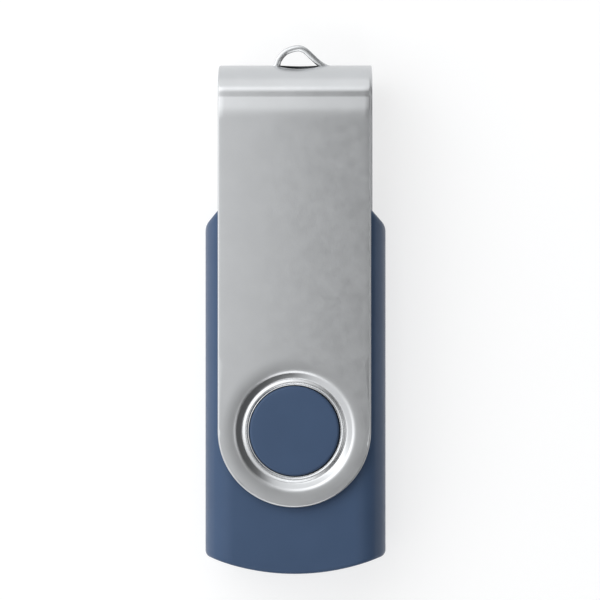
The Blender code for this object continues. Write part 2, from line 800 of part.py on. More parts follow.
def board_block(name, axis, centre, size, material):
    """A small part on the board's underside, such as a resistor or a crystal."""
    x, y = centre[0] * MM, centre[1] * MM
    width, length, height = (value * MM for value in size)
    top = BOARD_TOP - BOARD_THICKNESS - SEAT_GAP
    block = box(name, (x - width / 2, y - length / 2, top - height), (x + width / 2, y + length / 2, top))
    return as_part(block, axis, material)


def components(axis):
    ends = (((0, -1), 24, 0.5 * MM, 0.8 * MM), ((0, 1), 24, 0.5 * MM, 0.8 * MM))
    chip("memory_chip", axis, (0, 1.6 * MM), (12 * MM, 18.4 * MM, 1.1 * MM), ends, True)
    four = tuple((side, 12, 0.5 * MM, 1.0 * MM) for side in ((0, -1), (0, 1), (-1, 0), (1, 0)))
    chip("controller_chip", axis, (0, 11.9 * MM), (7 * MM, 7 * MM, 1.45 * MM), four, False)
    three = (((-1, 0), 2, 1.9 * MM, 0.5 * MM), ((1, 0), 1, 1.9 * MM, 0.5 * MM))
    chip("voltage_regulator", axis, (3.9 * MM, 3.4 * MM), (1.6 * MM, 2.9 * MM, 1.1 * MM), three, False)
    board_block("crystal_can", axis, (-2.6, 3.6), (3.2, 5.0, 1.1), "nickel_plate")
    board_block("indicator_led", axis, (0, -9.0), (1.6, 0.8, 0.6), "led_resin")
    board_block("power_ferrite", axis, (5.7, 14.6), (0.8, 1.6, 0.8), "black_epoxy")
    small = (0.8, 1.6, 0.8)
    places = [(5.7, 12.2), (-5.7, 14.6), (-5.7, 12.2), (-5.6, 4.4), (-5.6, 1.6), (1.2, 3.2)]
    for i, place in enumerate(places, 1):
        board_block(f"capacitor_{i}", axis, place, small, "ceramic_tan")
    thin = (0.8, 1.6, 0.45)
    for i, place in enumerate([(-1.2, -1.4), (0.4, -1.4), (2.0, -1.4), (-2.4, -7.4)], 1):
        board_block(f"resistor_{i}", axis, place, thin, "black_epoxy")


def main():
    body_axis = new_empty("body_axis")
    cover_axis = new_empty("cover_axis")
    housing_shell("front_housing_shell", body_axis, True)
    housing_shell("rear_housing_shell", body_axis, False)
    plug_shell(body_axis)
    plug_tongue(body_axis)
    contacts(body_axis)
    circuit_board(body_axis)
    components(body_axis)
    swivel_cover(cover_axis)


clear_scene()
PARTS = new_collection("usb_flash_drive")
CUTTERS = new_collection("cutters")
SHADING = smooth_by_angle()
main()
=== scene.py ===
"""Swivel USB flash drive: the finished look of each piece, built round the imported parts.

Everything is modelled about the swivel axis, with +Y towards the plug, +X across and +Z out of the face
that the camera sees, and is then carried to the axis's own place.
"""

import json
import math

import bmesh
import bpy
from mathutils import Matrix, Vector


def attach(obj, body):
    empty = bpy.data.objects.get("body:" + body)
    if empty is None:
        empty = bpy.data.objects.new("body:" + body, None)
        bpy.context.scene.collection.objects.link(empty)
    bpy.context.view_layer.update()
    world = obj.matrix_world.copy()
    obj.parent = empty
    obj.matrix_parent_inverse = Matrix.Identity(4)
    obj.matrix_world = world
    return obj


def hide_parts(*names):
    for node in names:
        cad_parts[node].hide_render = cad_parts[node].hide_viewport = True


bl_info = {
    "name": "Swivel USB Drive",
    "version": (1, 0, 0),
    "blender": (4, 5, 0),
    "location": "View3D > Sidebar > USB Drive",
    "description": "Builds a USB flash drive with its housing, swivel cover, plug and circuit board",
    "category": "Add Mesh",
}

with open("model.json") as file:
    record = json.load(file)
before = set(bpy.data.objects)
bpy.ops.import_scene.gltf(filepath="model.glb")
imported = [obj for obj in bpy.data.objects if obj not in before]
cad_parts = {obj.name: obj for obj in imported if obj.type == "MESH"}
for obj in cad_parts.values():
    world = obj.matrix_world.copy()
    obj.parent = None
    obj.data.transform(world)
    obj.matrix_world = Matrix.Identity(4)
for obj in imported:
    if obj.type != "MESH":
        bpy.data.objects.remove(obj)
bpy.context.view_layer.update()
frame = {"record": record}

MM = 0.001
AXIS = Vector(frame["record"]["behaviour"]["joints"][0]["pos_m"])
MERGE = 1e-7

# Housing, measured from the swivel axis
BODY_HALF_WIDTH = 9.5 * MM
BODY_HALF_HEIGHT = 4.3 * MM
FACE_HALF_WIDTH = 7.6 * MM
FACE_CROWN = 0.12 * MM
NOSE_REACH = 24.6 * MM
SHOULDER_REACH = 21.56 * MM
SHOULDER_ANGLE = math.radians(41)
TAIL_REACH = 15.05 * MM
TAIL_RADIUS = 24.0 * MM
PARTING = 0.06 * MM
WALL = 1.2 * MM
GROOVE_FLOOR = 3.4 * MM
GROOVE_RADIUS = 6.35 * MM
GROOVE_FLARE = 0.68
ROOT_IN_WALL = 3.3 * MM
NOSE_CORNER = 0.8 * MM
SHOULDER_CORNER = 1.6 * MM
TAIL_CORNER = 0.45 * MM
FACE_BLEND = 1.25 * MM
BOSS_RADIUS = 4.72 * MM
BOSS_TOP = 5.1 * MM
BOSS_CROWN = 0.05 * MM
BOSS_EDGE = 0.3 * MM
CUP_RADIUS = 7.7 * MM
REBATE_INSET, REBATE_HEIGHT = 0.56 * MM, 0.8 * MM
LIP_INSET, LIP_HEIGHT, LIP_DROP = 0.72 * MM, 0.24 * MM, 0.6 * MM
POST_X, POST_ENDS = 6.62 * MM, (16.4 * MM, -9.5 * MM)
STUDS = ((7.1 * MM, 18.7 * MM), (5.2 * MM, -11.9 * MM))

# Swivel cover
COVER_HALF_THICKNESS = 5.2 * MM
COVER_REACH = 38.5 * MM
NECK_START = 32.8 * MM
NECK_BOTTOM = 35.25 * MM
NECK_DEPTH = 0.26 * MM
ROLL_START = 35.5 * MM
ROLL_HALF_THICKNESS = 4.98 * MM
EYE_CENTRE = Vector((0.42, 0.8)) * MM
EYE_HALF_SIZE = Vector((2.3, 1.75)) * MM
LOOP_WIDTH = 1.3 * MM
LOOP_CENTRE_Z = 0.5 * MM
LOOP_THICKNESS = 0.64 * MM
LOOP_EDGE = 0.18 * MM
EYE_RIM = 0.08 * MM
EYE_RIM_REACH = 3.5 * MM
ARM_BOW = 0.05 * MM
SEAT_STEPS = 144
SEAT_RIM = 7.4 * MM
# Rings round the axis on the steel: (from, to, value inside, value outside); the second paints shade round
# the seat
WORN_RING = (5.1 * MM, 5.5 * MM, -0.04, 0.0)
PAINTED_SHADE_RING = (5.6 * MM, 8 * MM, 0.0, 1.0)
# (share of the painted shade ring, tone): tones below 1 paint shade round the seat
PAINTED_SHADE_TONES = [(0.0, 1.0), (0.3, 1.0), (0.4, 0.82), (0.52, 0.83), (0.85, 0.97), (1.0, 1.0)]
# (radius, depth) in mm of the seat's outer face: lip at the hole, valley, slope, shoulder, arm
PRESSED_SEAT = [
    (4.82, 0.56),
    (4.88, 0.5),
    (4.96, 0.45),
    (5.04, 0.42),
    (5.14, 0.41),
    (5.26, 0.435),
    (5.36, 0.475),
    (5.45, 0.5),
    (5.54, 0.48),
    (5.7, 0.39),
    (5.92, 0.25),
    (6.06, 0.155),
    (6.18, 0.1),
    (6.34, 0.055),
    (6.6, 0.03),
    (7.0, 0.01),
    (7.4, 0.0),
]
DRAWN_SEAT = [(4.82, 0.5), (5.25, 0.44), (5.58, 0.54), (6.1, 0.13), (6.4, 0.05), (7.4, 0.0)]

# USB plug and circuit board
PLUG_HALF_WIDTH = 6.0 * MM
PLUG_HALF_HEIGHT = 2.25 * MM
PLUG_SHEET = 0.3 * MM
PLUG_REACH = 36.6 * MM
PLUG_BACK = 20.2 * MM
PLUG_CORNER_RADIUS = 0.6 * MM
WINDOW_X = 2.55 * MM
WINDOW_SIZE = (2.4 * MM, 2.2 * MM)
WINDOW_Y = PLUG_REACH - 6.1 * MM
TONGUE_BACK = PLUG_BACK + 0.15 * MM
TONGUE_BLOCK = PLUG_REACH - 9.4 * MM
TONGUE_FRONT = PLUG_REACH - 0.5 * MM
CONTACTS = {
    # node: (x, front end)
    "contact_power": (-3.5 * MM, PLUG_REACH - 1.4 * MM),
    "contact_data_minus": (-1.0 * MM, PLUG_REACH - 2.4 * MM),
    "contact_data_plus": (1.0 * MM, PLUG_REACH - 2.4 * MM),
    "contact_ground": (3.5 * MM, PLUG_REACH - 1.4 * MM),
}
CONTACT_BACK = 18.2 * MM
CONTACT_MIDDLE = -0.175 * MM
CONTACT_WIDTH = 0.98 * MM
CONTACT_THICKNESS = 0.24 * MM
PLUG_GAP = 0.2 * MM
SEAM_HALF_WIDTH = 0.035 * MM
BOARD_TOP = -0.35 * MM
BOARD_THICKNESS = 0.8 * MM
BOARD_HALF_WIDTH = 7.1 * MM
BOARD_NECK_HALF_WIDTH = 5.45 * MM
BOARD_BACK = -10.2 * MM
BOARD_SHOULDER = 17.3 * MM
BOARD_FRONT = 19.9 * MM
SEAT_GAP = 0.05 * MM
PAD_HEIGHT = 0.03 * MM
PAD_EDGE = 0.008 * MM

# The middle of the noise's range, over which a finish varies
NOISE_LOW, NOISE_HIGH = 0.3, 0.7

# Softboxes of the room: (direction, cosine at its far edge, at its near edge, level outside, level inside)
SOFTBOXES = [
    ((-0.3, 0.8, 0.52), 0.64, 0.84, 0.11, 1.25),
    ((-0.95, -0.3, 0), 0.25, 0.6, 0, 1.0),
    ((0, 0, 1), 0.866, 0.99, 0, 0.04),
    ((0, -0.6, 0.8), 0.93, 0.985, 0, 1.9),
    ((0.44, 0, 0.9), 0.968, 0.99, 0, 1.2),
]
# Square lights: (name, place, aim, size, watts, seen in the metal)
LIGHTS = [
    ("near_panel", (-0.062, 0.03, 0.09), (-0.062, 0.03, 0), 0.12, 0.038, True),
    ("key_panel", (-0.35, 0.4, 0.45), (0, 0, 0), 0.25, 0.17, False),
]
FLOOR_DROP = 0.05 * MM
FLOOR_GLOW = 0.7
VIEW_CENTRE = Vector((0.6 * MM, 13.75 * MM, COVER_HALF_THICKNESS))
VIEW_WIDTH = 62.992 * MM
SENSOR = 36

# Packages on the board: node: (place, size, lead rows, on the top face). Places are mm from the axis.
PACKAGES = {
    "memory_chip": ((0, 1.6), (12.0, 18.4, 1.1), [("-y", 24, 0.5, 0.8), ("+y", 24, 0.5, 0.8)], True),
    "controller_chip": (
        (0, 11.9),
        (7.0, 7.0, 1.45),
        [(side, 12, 0.5, 1.0) for side in ("-y", "+y", "-x", "+x")],
        False,
    ),
    "voltage_regulator": ((3.9, 3.4), (1.6, 2.9, 1.1), [("+x", 2, 1.9, 0.5), ("-x", 1, 1.9, 0.5)], False),
}
# Small parts under the board: node: (place, size)
CAPACITORS = {
    f"capacitor_{number}": (place, (0.8, 1.6, 0.8))
    for number, place in enumerate(
        [(5.7, 12.2), (-5.7, 14.6), (-5.7, 12.2), (-5.6, 4.4), (-5.6, 1.6), (1.2, 3.2)], 1
    )
}
RESISTORS = {
    f"resistor_{number}": (place, (0.8, 1.6, 0.45))
    for number, place in enumerate([(-1.2, -1.4), (0.4, -1.4), (2.0, -1.4), (-2.4, -7.4)], 1)
}
FERRITE = ((5.7, 14.6), (0.8, 1.6, 0.8))
CRYSTAL = ((-2.6, 3.6), (3.2, 5.0, 1.1))
LAMP = ((0, -9.0), (1.6, 0.8, 0.6))


# --- Colour, nodes and materials ----------------------------------------------------------------------


def linear(code):
    """The linear RGB of an sRGB hex colour such as #4D5D74."""
    values = [int(code[i : i + 2], 16) / 255 for i in (1, 3, 5)]
    return tuple(v / 12.92 if v <= 0.04045 else ((v + 0.055) / 1.055) ** 2.4 for v in values)


def add_node(tree, kind, inputs=None, **settings):
    """Adds a node with its settings. inputs maps a socket's name or number to a value or to an output."""
    node = tree.nodes.new(kind)
    for name, value in settings.items():
        setattr(node, name, value)
    for name, value in (inputs or {}).items():
        if isinstance(value, bpy.types.NodeSocket):
            tree.links.new(value, node.inputs[name])
        else:
            node.inputs[name].default_value = value
    return node


def new_material(name, colour, roughness, metallic=0.0, **sockets):
    """A material with a Principled shader, and its tree. sockets are further values, with _ for a space."""
    material = bpy.data.materials.new(name)
    material.use_nodes = True
    material.diffuse_color = (*colour, 1)
    tree = material.node_tree
    tree.nodes.clear()
    shader = add_node(
        tree,
        "ShaderNodeBsdfPrincipled",
        {"Base Color": (*colour, 1), "Roughness": roughness, "Metallic": metallic},
    )
    for socket, value in sockets.items():
        shader.inputs[socket.replace("_", " ")].default_value = value
    add_node(tree, "ShaderNodeOutputMaterial", {"Surface": shader.outputs["BSDF"]})
    return material, tree, shader


def object_noise(tree, size, detail=2.0, stretch=(1, 1, 1)):
    """Noise whose spots are about size metres across, drawn out along an axis by stretch."""
    place = add_node(tree, "ShaderNodeTexCoord")
    scale = add_node(
        tree,
        "ShaderNodeMapping",
        {"Vector": place.outputs["Object"], "Scale": tuple(1 / (size * s) for s in stretch)},
    )
    noise = add_node(
        tree,
        "ShaderNodeTexNoise",
        {"Vector": scale.outputs["Vector"], "Scale": 1.0, "Detail": detail, "Roughness": 0.55},
    )
    return noise.outputs["Fac"]


def vary(tree, shader, source, low, high):
    """Roughness drawn between low and high over the middle of the noise's range."""
    ranged = add_node(
        tree,
        "ShaderNodeMapRange",
        {"Value": source, "From Min": NOISE_LOW, "From Max": NOISE_HIGH, "To Min": low, "To Max": high},
    )
    tree.links.new(ranged.outputs["Result"], shader.inputs["Roughness"])
    return ranged.outputs["Result"]


def mix_colours(tree, shader, share, first, second):
    """Base colour between two shades, by share."""
    mix = add_node(tree, "ShaderNodeMix", {"Factor": share}, data_type="RGBA")
    from_to = [s for s in mix.inputs if s.type == "RGBA"]
    from_to[0].default_value = (*first, 1)
    from_to[1].default_value = (*second, 1)
    tree.links.new(next(s for s in mix.outputs if s.type == "RGBA"), shader.inputs["Base Color"])


def mottle(tree, shader, source, colour, spread):
    """Base colour between two near shades of colour, from noise."""
    share = add_node(
        tree, "ShaderNodeMapRange", {"Value": source, "From Min": NOISE_LOW, "From Max": NOISE_HIGH}
    )
    dark, light = (tuple(c * tone for c in colour) for tone in (1 - spread, 1 + spread))
    mix_colours(tree, shader, share.outputs["Result"], dark, light)


def bump(tree, shader, source, depth, strength=1.0):
    """Raises the surface by up to depth metres where source is high."""
    relief = add_node(tree, "ShaderNodeBump", {"Height": source, "Distance": depth, "Strength": strength})
    tree.links.new(relief.outputs["Normal"], shader.inputs["Normal"])


def grained(name, colour, roughness, metallic=0.0, tone=None, gloss=None, relief=None, **sockets):
    """A material varied by noises, each given as what object_noise takes after its tree: tone is
    (noise, spread), gloss is (noise, lowest and highest roughness), relief is (noise, depth, strength)."""
    material, tree, shader = new_material(name, colour, roughness, metallic, **sockets)
    if tone:
        mottle(tree, shader, object_noise(tree, *tone[0]), colour, tone[1])
    if gloss:
        vary(tree, shader, object_noise(tree, *gloss[0]), *gloss[1:])
    if relief:
        bump(tree, shader, object_noise(tree, *relief[0]), *relief[1:])
    return material


def soft_touch_abs(colour):
    """ABS with a soft-touch lacquer, moulded: a low satin sheen, a very fine grain, faint clouds."""
    # The lacquer's grain is some 0.05 mm, too fine to show, so it is drawn at 0.16 mm
    grain = ((0.16 * MM, 1.0), 0.004 * MM, 0.35)
    clouds, sheen = ((5 * MM,), 0.035), ((1.2 * MM,), 0.31, 0.37)
    return grained(
        "soft_touch_lacquered_abs", colour, 0.34, 0.0, clouds, sheen, grain, Specular_IOR_Level=0.1
    )


def satin_stainless(colour, roughness):
    """Cold-rolled stainless sheet, blasted to a fine satin. It shines where the boss rubs its seat, and
    painted shade darkens its colour in a ring round the seat.
    """
    material, tree, shader = new_material("satin_stainless_sheet", colour, roughness, 1.0)
    mottle(tree, shader, object_noise(tree, 3.5 * MM, 3.0), colour, 0.02)
    cloud = vary(tree, shader, object_noise(tree, 0.9 * MM, 3.0), roughness - 0.02, roughness + 0.02)
    place = add_node(tree, "ShaderNodeTexCoord")
    centred = add_node(
        tree,
        "ShaderNodeMapping",
        {"Vector": place.outputs["Object"], "Location": (-AXIS.x, -AXIS.y, 0), "Scale": (1, 1, 0)},
    )
    radius = add_node(tree, "ShaderNodeVectorMath", {0: centred.outputs["Vector"]}, operation="LENGTH")
    worn, share = (
        add_node(
            tree,
            "ShaderNodeMapRange",
            {
                "Value": radius.outputs["Value"],
                "From Min": start,
                "From Max": end,
                "To Min": inside,
                "To Max": outside,
            },
        ).outputs["Result"]
        for start, end, inside, outside in (WORN_RING, PAINTED_SHADE_RING)
    )
    total = add_node(tree, "ShaderNodeMath", {0: cloud, 1: worn}, operation="ADD")
    tree.links.new(total.outputs["Value"], shader.inputs["Roughness"])
    # Painted shade: the base colour is darkened in a ring round the seat
    painted_shade_ramp = add_node(tree, "ShaderNodeValToRGB", {"Fac": share})
    while len(painted_shade_ramp.color_ramp.elements) < len(PAINTED_SHADE_TONES):
        painted_shade_ramp.color_ramp.elements.new(0.5)
    for element, (at, tone) in zip(painted_shade_ramp.color_ramp.elements, PAINTED_SHADE_TONES):
        element.position = at
        element.color = (tone, tone, tone, 1)
    base = shader.inputs["Base Color"]
    factors = {0: base.links[0].from_socket, 1: painted_shade_ramp.outputs["Color"]}
    shade_painted_colour = add_node(tree, "ShaderNodeVectorMath", factors, operation="MULTIPLY")
    tree.links.new(shade_painted_colour.outputs["Vector"], base)
    # Blasting grit of about 0.1 mm
    bump(tree, shader, object_noise(tree, 0.11 * MM, 1.0), 0.001 * MM, 0.3)
    return material


def sheared_stainless(colour):
    """The sheet's cut and tumbled edge: brighter than the face, with fine streaks across its thickness."""
    streaks = (0.08 * MM, 1.0, (1, 1, 8))
    return grained("sheared_stainless_edge", colour, 0.24, 1.0, (streaks, 0.05), (streaks, 0.2, 0.3))


def painted_shade_steel():
    """The eye's lower lip under the loop: painted shade, a dark coarse steel that stands in for the shade
    lying there.
    """
    streaks = (0.1 * MM, 1.0, (1, 4, 1))
    # Painted shade: a dark colour for the lip that lies in shade under the loop
    dark = linear("#3E4042")
    return grained("painted_shade_lip", dark, 0.5, 1.0, (streaks, 0.15), (streaks, 0.42, 0.6))


def nickel_plate(colour):
    """Bright nickel over drawn steel: a soft mirror, with faint lines along the plug from use in ports."""
    lines = (0.12 * MM, 2.0, (1, 40, 1))
    clouds, relief = ((2 * MM,), 0.03), (lines, 0.002 * MM, 0.3)
    return grained("nickel_plated_steel", colour, 0.2, 1.0, clouds, (lines, 0.16, 0.26), relief)


def gold_plate(colour):
    """Thin gold over nickel: smooth, warm, with slight wiping marks along each contact."""
    wiped = ((0.1 * MM, 2.0, (1, 25, 1)), 0.17, 0.3)
    return grained("gold_plated_contact", colour, 0.22, 1.0, ((0.8 * MM,), 0.04), wiped)


def moulded_pbt(colour):
    """White glass-filled PBT: slightly cloudy, semi-matt, with a little light passing into it."""
    return grained(
        "moulded_white_pbt",
        colour,
        0.42,
        tone=((1.5 * MM, 3.0), 0.03),
        gloss=((0.4 * MM,), 0.38, 0.48),
        relief=((0.15 * MM,), 0.003 * MM, 0.3),
        Subsurface_Weight=0.08,
        Subsurface_Radius=(0.4, 0.35, 0.3),
        Subsurface_Scale=0.4 * MM,
    )


def solder_mask(colour, copper):
    """Green solder mask over copper: the tracks under it show as paler raised bands 0.2 mm wide."""
    material, tree, shader = new_material(
        "solder_mask_on_fr4", colour, 0.3, Coat_Weight=0.25, Coat_Roughness=0.12
    )
    place = add_node(tree, "ShaderNodeTexCoord")
    tracks = add_node(
        tree,
        "ShaderNodeTexBrick",
        {
            "Vector": place.outputs["Object"],
            "Scale": 1 / (4 * MM),
            "Mortar Size": 0.025,
            "Mortar Smooth": 0.2,
            "Brick Width": 1.3,
            "Row Height": 0.2,
        },
    )
    mix_colours(tree, shader, tracks.outputs["Fac"], colour, copper)
    vary(tree, shader, object_noise(tree, 0.6 * MM), 0.26, 0.36)
    bump(tree, shader, tracks.outputs["Fac"], 0.02 * MM, 0.6)
    return material


def bare_laminate():
    """The board's routed edge: dull yellow-green glass cloth and resin, in fine layers."""
    layers = (0.1 * MM, 1.0, (6, 6, 1))
    relief = (layers, 0.005 * MM, 0.5)
    return grained("routed_fr4_edge", linear("#A9A66C"), 0.7, tone=(layers, 0.15), relief=relief)


def mould_compound(colour):
    """Black epoxy mould compound: matt and finely sparkled by its silica filler."""
    grains = (0.12 * MM, 1.0)
    relief = (grains, 0.004 * MM, 0.5)
    return grained("epoxy_mould_compound", colour, 0.6, 0.0, (grains, 0.25), (grains, 0.52, 0.68), relief)


def tin_plate():
    """Matt tin on copper leads and end caps."""
    clouds, sheen = ((0.3 * MM,), 0.05), ((0.1 * MM,), 0.32, 0.46)
    return grained("matt_tin_plate", linear("#B9BBBC"), 0.38, 1.0, clouds, sheen)


def fired_ceramic(name, colour, roughness):
    """Fired ceramic or ferrite: fine-grained and dull, with darker specks."""
    grains = (0.08 * MM, 2.0)
    sheen = (grains, roughness - 0.06, roughness + 0.06)
    return grained(name, colour, roughness, tone=(grains, 0.12), gloss=sheen)


def clear_epoxy():
    """Clear lens resin of the lamp, slightly milky over its chip."""
    milk = ((0.3 * MM,), 0.08, 0.18)
    resin = linear("#E4E8DC")
    return grained("clear_lamp_epoxy", resin, 0.12, gloss=milk, Transmission_Weight=0.55, IOR=1.53)


# --- Meshes -------------------------------------------------------------------------------------------


def new_object(name, mesh):
    obj = bpy.data.objects.new(name, mesh)
    bpy.context.scene.collection.objects.link(obj)
    return obj


def to_object(name, edit):
    """Ends a bmesh as an object."""
    mesh = bpy.data.meshes.new(name)
    edit.to_mesh(mesh)
    edit.free()
    return new_object(name, mesh)


def from_edit(name, edit):
    """Closes a bmesh into an object, with its doubles merged and its faces pointing out."""
    bmesh.ops.remove_doubles(edit, verts=edit.verts, dist=MERGE)
    bmesh.ops.dissolve_degenerate(edit, edges=edit.edges, dist=MERGE)
    bmesh.ops.recalc_face_normals(edit, faces=edit.faces)
    return to_object(name, edit)


def apply_modifiers(obj):
    """Turns an object's evaluated shape into its own plain mesh."""
    bpy.context.view_layer.update()
    graph = bpy.context.evaluated_depsgraph_get()
    mesh = bpy.data.meshes.new_from_object(obj.evaluated_get(graph))
    obj.modifiers.clear()
    obj.data = mesh
    return obj


def combine(obj, tool, operation):
    """Joins or cuts obj with tool, and removes the tool."""
    modifier = obj.modifiers.new("combine", "BOOLEAN")
    modifier.operation = operation
    modifier.object = tool
    apply_modifiers(obj)
    bpy.data.objects.remove(tool)
    return obj


def joined(name, pieces):
    """One object from several, each given as (object, material index or None to keep its own)."""
    edit = bmesh.new()
    for obj, index in pieces:
        start = len(edit.faces)
        edit.from_mesh(obj.data)
        edit.faces.ensure_lookup_table()
        if index is not None:
            for face in edit.faces[start:]:
                face.material_index = index
        bpy.data.objects.remove(obj)
    return to_object(name, edit)


def block(name, low, high, edge=0.0, segments=2, top_taper=0.0):
    """A box with rounded edges, its top drawn in by top_taper on each side."""
    edit = bmesh.new()
    size = Vector(high) - Vector(low)
    place = Matrix.Translation((Vector(low) + Vector(high)) / 2) @ Matrix.Diagonal((*size, 1))
    bmesh.ops.create_cube(edit, size=1, matrix=place)
    if top_taper:
        middle = (Vector(low) + Vector(high)) / 2
        for vert in edit.verts:
            if vert.co.z > middle.z:
                vert.co.x += math.copysign(top_taper, middle.x - vert.co.x)
                vert.co.y += math.copysign(top_taper, middle.y - vert.co.y)
    if edge:
        bmesh.ops.bevel(edit, geom=edit.edges[:], offset=edge, segments=segments, profile=0.5, affect="EDGES")
    return from_edit(name, edit)


def prism(name, outline, low, high, along="Z", edge=0.0):
    """An outline drawn thick from low to high along an axis. Its numbers are x, y for Z, x, z for Y and
    y, z for X."""
    edit = bmesh.new()
    places = {"X": lambda u, v: (low, u, v), "Y": lambda u, v: (u, low, v), "Z": lambda u, v: (u, v, low)}
    face = edit.faces.new([edit.verts.new(places[along](u, v)) for u, v in outline])
    grown = bmesh.ops.extrude_face_region(edit, geom=[face])["geom"]
    step = Vector([high - low if axis == along else 0 for axis in "XYZ"])
    bmesh.ops.translate(edit, verts=[v for v in grown if isinstance(v, bmesh.types.BMVert)], vec=step)
    bmesh.ops.recalc_face_normals(edit, faces=edit.faces)
    if edge:
        bevel_sharp(edit, edit.edges, edge)
    return from_edit(name, edit)


def spin(edit, line, steps):
    """Turns a line once round the Z axis and closes the surface where it meets itself."""
    turn = {"axis": (0, 0, 1), "cent": (0, 0, 0), "angle": 2 * math.pi}
    bmesh.ops.spin(edit, geom=line, steps=steps, use_merge=True, **turn)
    bmesh.ops.remove_doubles(edit, verts=edit.verts, dist=MERGE)


def turned(name, profile, steps=128):
    """A profile of (radius, height), from the axis round to the axis, spun about Z."""
    edit = bmesh.new()
    verts = [edit.verts.new((r, 0, z)) for r, z in profile]
    edges = [edit.edges.new(pair) for pair in zip(verts, verts[1:])]
    spin(edit, verts + edges, steps)
    return from_edit(name, edit)


def bevel_sharp(edit, edges, width, segments=3, angle=50):
    """Rounds the edges that turn by more than angle degrees."""
    edit.normal_update()
    limit = math.radians(angle)
    sharp = [e for e in edges if len(e.link_faces) == 2 and e.calc_face_angle(0) > limit]
    bmesh.ops.bevel(
        edit, geom=sharp, offset=width, segments=segments, profile=0.5, affect="EDGES", clamp_overlap=True
    )


def finish_piece(obj, materials, body, slot, replaced, smooth=35):
    """Gives a piece its name, materials, shading and place, and its body and the node it shows."""
    obj.name = obj.data.name = replaced[0] + "_look"
    # Clearing the slots would put every face on the first one
    chosen = [face.material_index for face in obj.data.polygons]
    obj.data.materials.clear()
    for material in materials:
        obj.data.materials.append(material)
    obj.data.polygons.foreach_set("material_index", chosen)
    obj.data.transform(Matrix.Translation(AXIS))
    obj.data.shade_smooth()
    obj.data.set_sharp_from_angle(angle=math.radians(smooth))
    shading = obj.modifiers.new("even_shading", "WEIGHTED_NORMAL")
    shading.keep_sharp = True
    apply_modifiers(obj)
    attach(obj, body)
    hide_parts(*replaced)
    return obj


def smooth_path(points, steps):
    """A Catmull-Rom curve through the points."""
    path = []
    count = len(points)
    for i in range(count - 1):
        near = [points[min(max(k, 0), count - 1)] for k in (i - 1, i, i + 1, i + 2)]
        before, here, there, after = (Vector(point) for point in near)
        for step in range(steps):
            t = step / steps
            path.append(
                0.5
                * (
                    2 * here
                    + (there - before) * t
                    + (2 * before - 5 * here + 4 * there - after) * t**2
                    + (3 * here - before - 3 * there + after) * t**3
                )
            )
    path.append(Vector(points[-1]))
    return path


# --- Geometry Nodes -----------------------------------------------------------------------------------


def new_tree(name, sockets):
    """A geometry tree with a geometry input and output and further named inputs: (name, type, default)."""
    tree = bpy.data.node_groups.new(name, "GeometryNodeTree")
    tree.interface.new_socket("Geometry", in_out="INPUT", socket_type="NodeSocketGeometry")
    tree.interface.new_socket("Geometry", in_out="OUTPUT", socket_type="NodeSocketGeometry")
    for socket_name, kind, default in sockets:
        socket = tree.interface.new_socket(socket_name, in_out="INPUT", socket_type="NodeSocket" + kind)
        if default is not None:
            socket.default_value = default
    return tree, add_node(tree, "NodeGroupInput").outputs


def end_tree(tree, geometry, material):
    """Realizes, gives the material and ends a tree."""
    real = add_node(tree, "GeometryNodeRealizeInstances", {"Geometry": geometry})
    finished = add_node(tree, "GeometryNodeSetMaterial", {"Geometry": real.outputs[0], "Material": material})
    add_node(tree, "NodeGroupOutput", {"Geometry": finished.outputs[0]})
    return tree


def strip_row_tree():
    """A strip swept along the input's path, and repeated in a row: leads, contacts and the key-ring loop."""
    tree, given = new_tree(
        "strip_row",
        [
            ("Strip Width", "Float", 1 * MM),
            ("Strip Thickness", "Float", 0.2 * MM),
            ("Edge Radius", "Float", 0.03 * MM),
            ("Count", "Int", 1),
            ("Step", "Vector", (0, 0, 0)),
            ("Material", "Material", None),
        ],
    )
    path = add_node(tree, "GeometryNodeMeshToCurve", {"Mesh": given["Geometry"]})
    upright = add_node(tree, "GeometryNodeSetCurveNormal", {"Curve": path.outputs[0]}, mode="MINIMUM_TWIST")
    section = add_node(
        tree,
        "GeometryNodeCurvePrimitiveQuadrilateral",
        {"Width": given["Strip Width"], "Height": given["Strip Thickness"]},
    )
    eased = add_node(
        tree,
        "GeometryNodeFilletCurve",
        {"Curve": section.outputs[0], "Count": 2, "Radius": given["Edge Radius"], "Limit Radius": True},
        mode="POLY",
    )
    strip = add_node(
        tree,
        "GeometryNodeCurveToMesh",
        {"Curve": upright.outputs[0], "Profile Curve": eased.outputs[0], "Fill Caps": True},
    )
    line = add_node(tree, "GeometryNodeMeshLine", {"Count": given["Count"], "Offset": given["Step"]})
    row = add_node(
        tree, "GeometryNodeInstanceOnPoints", {"Points": line.outputs[0], "Instance": strip.outputs[0]}
    )
    return end_tree(tree, row.outputs[0], given["Material"])


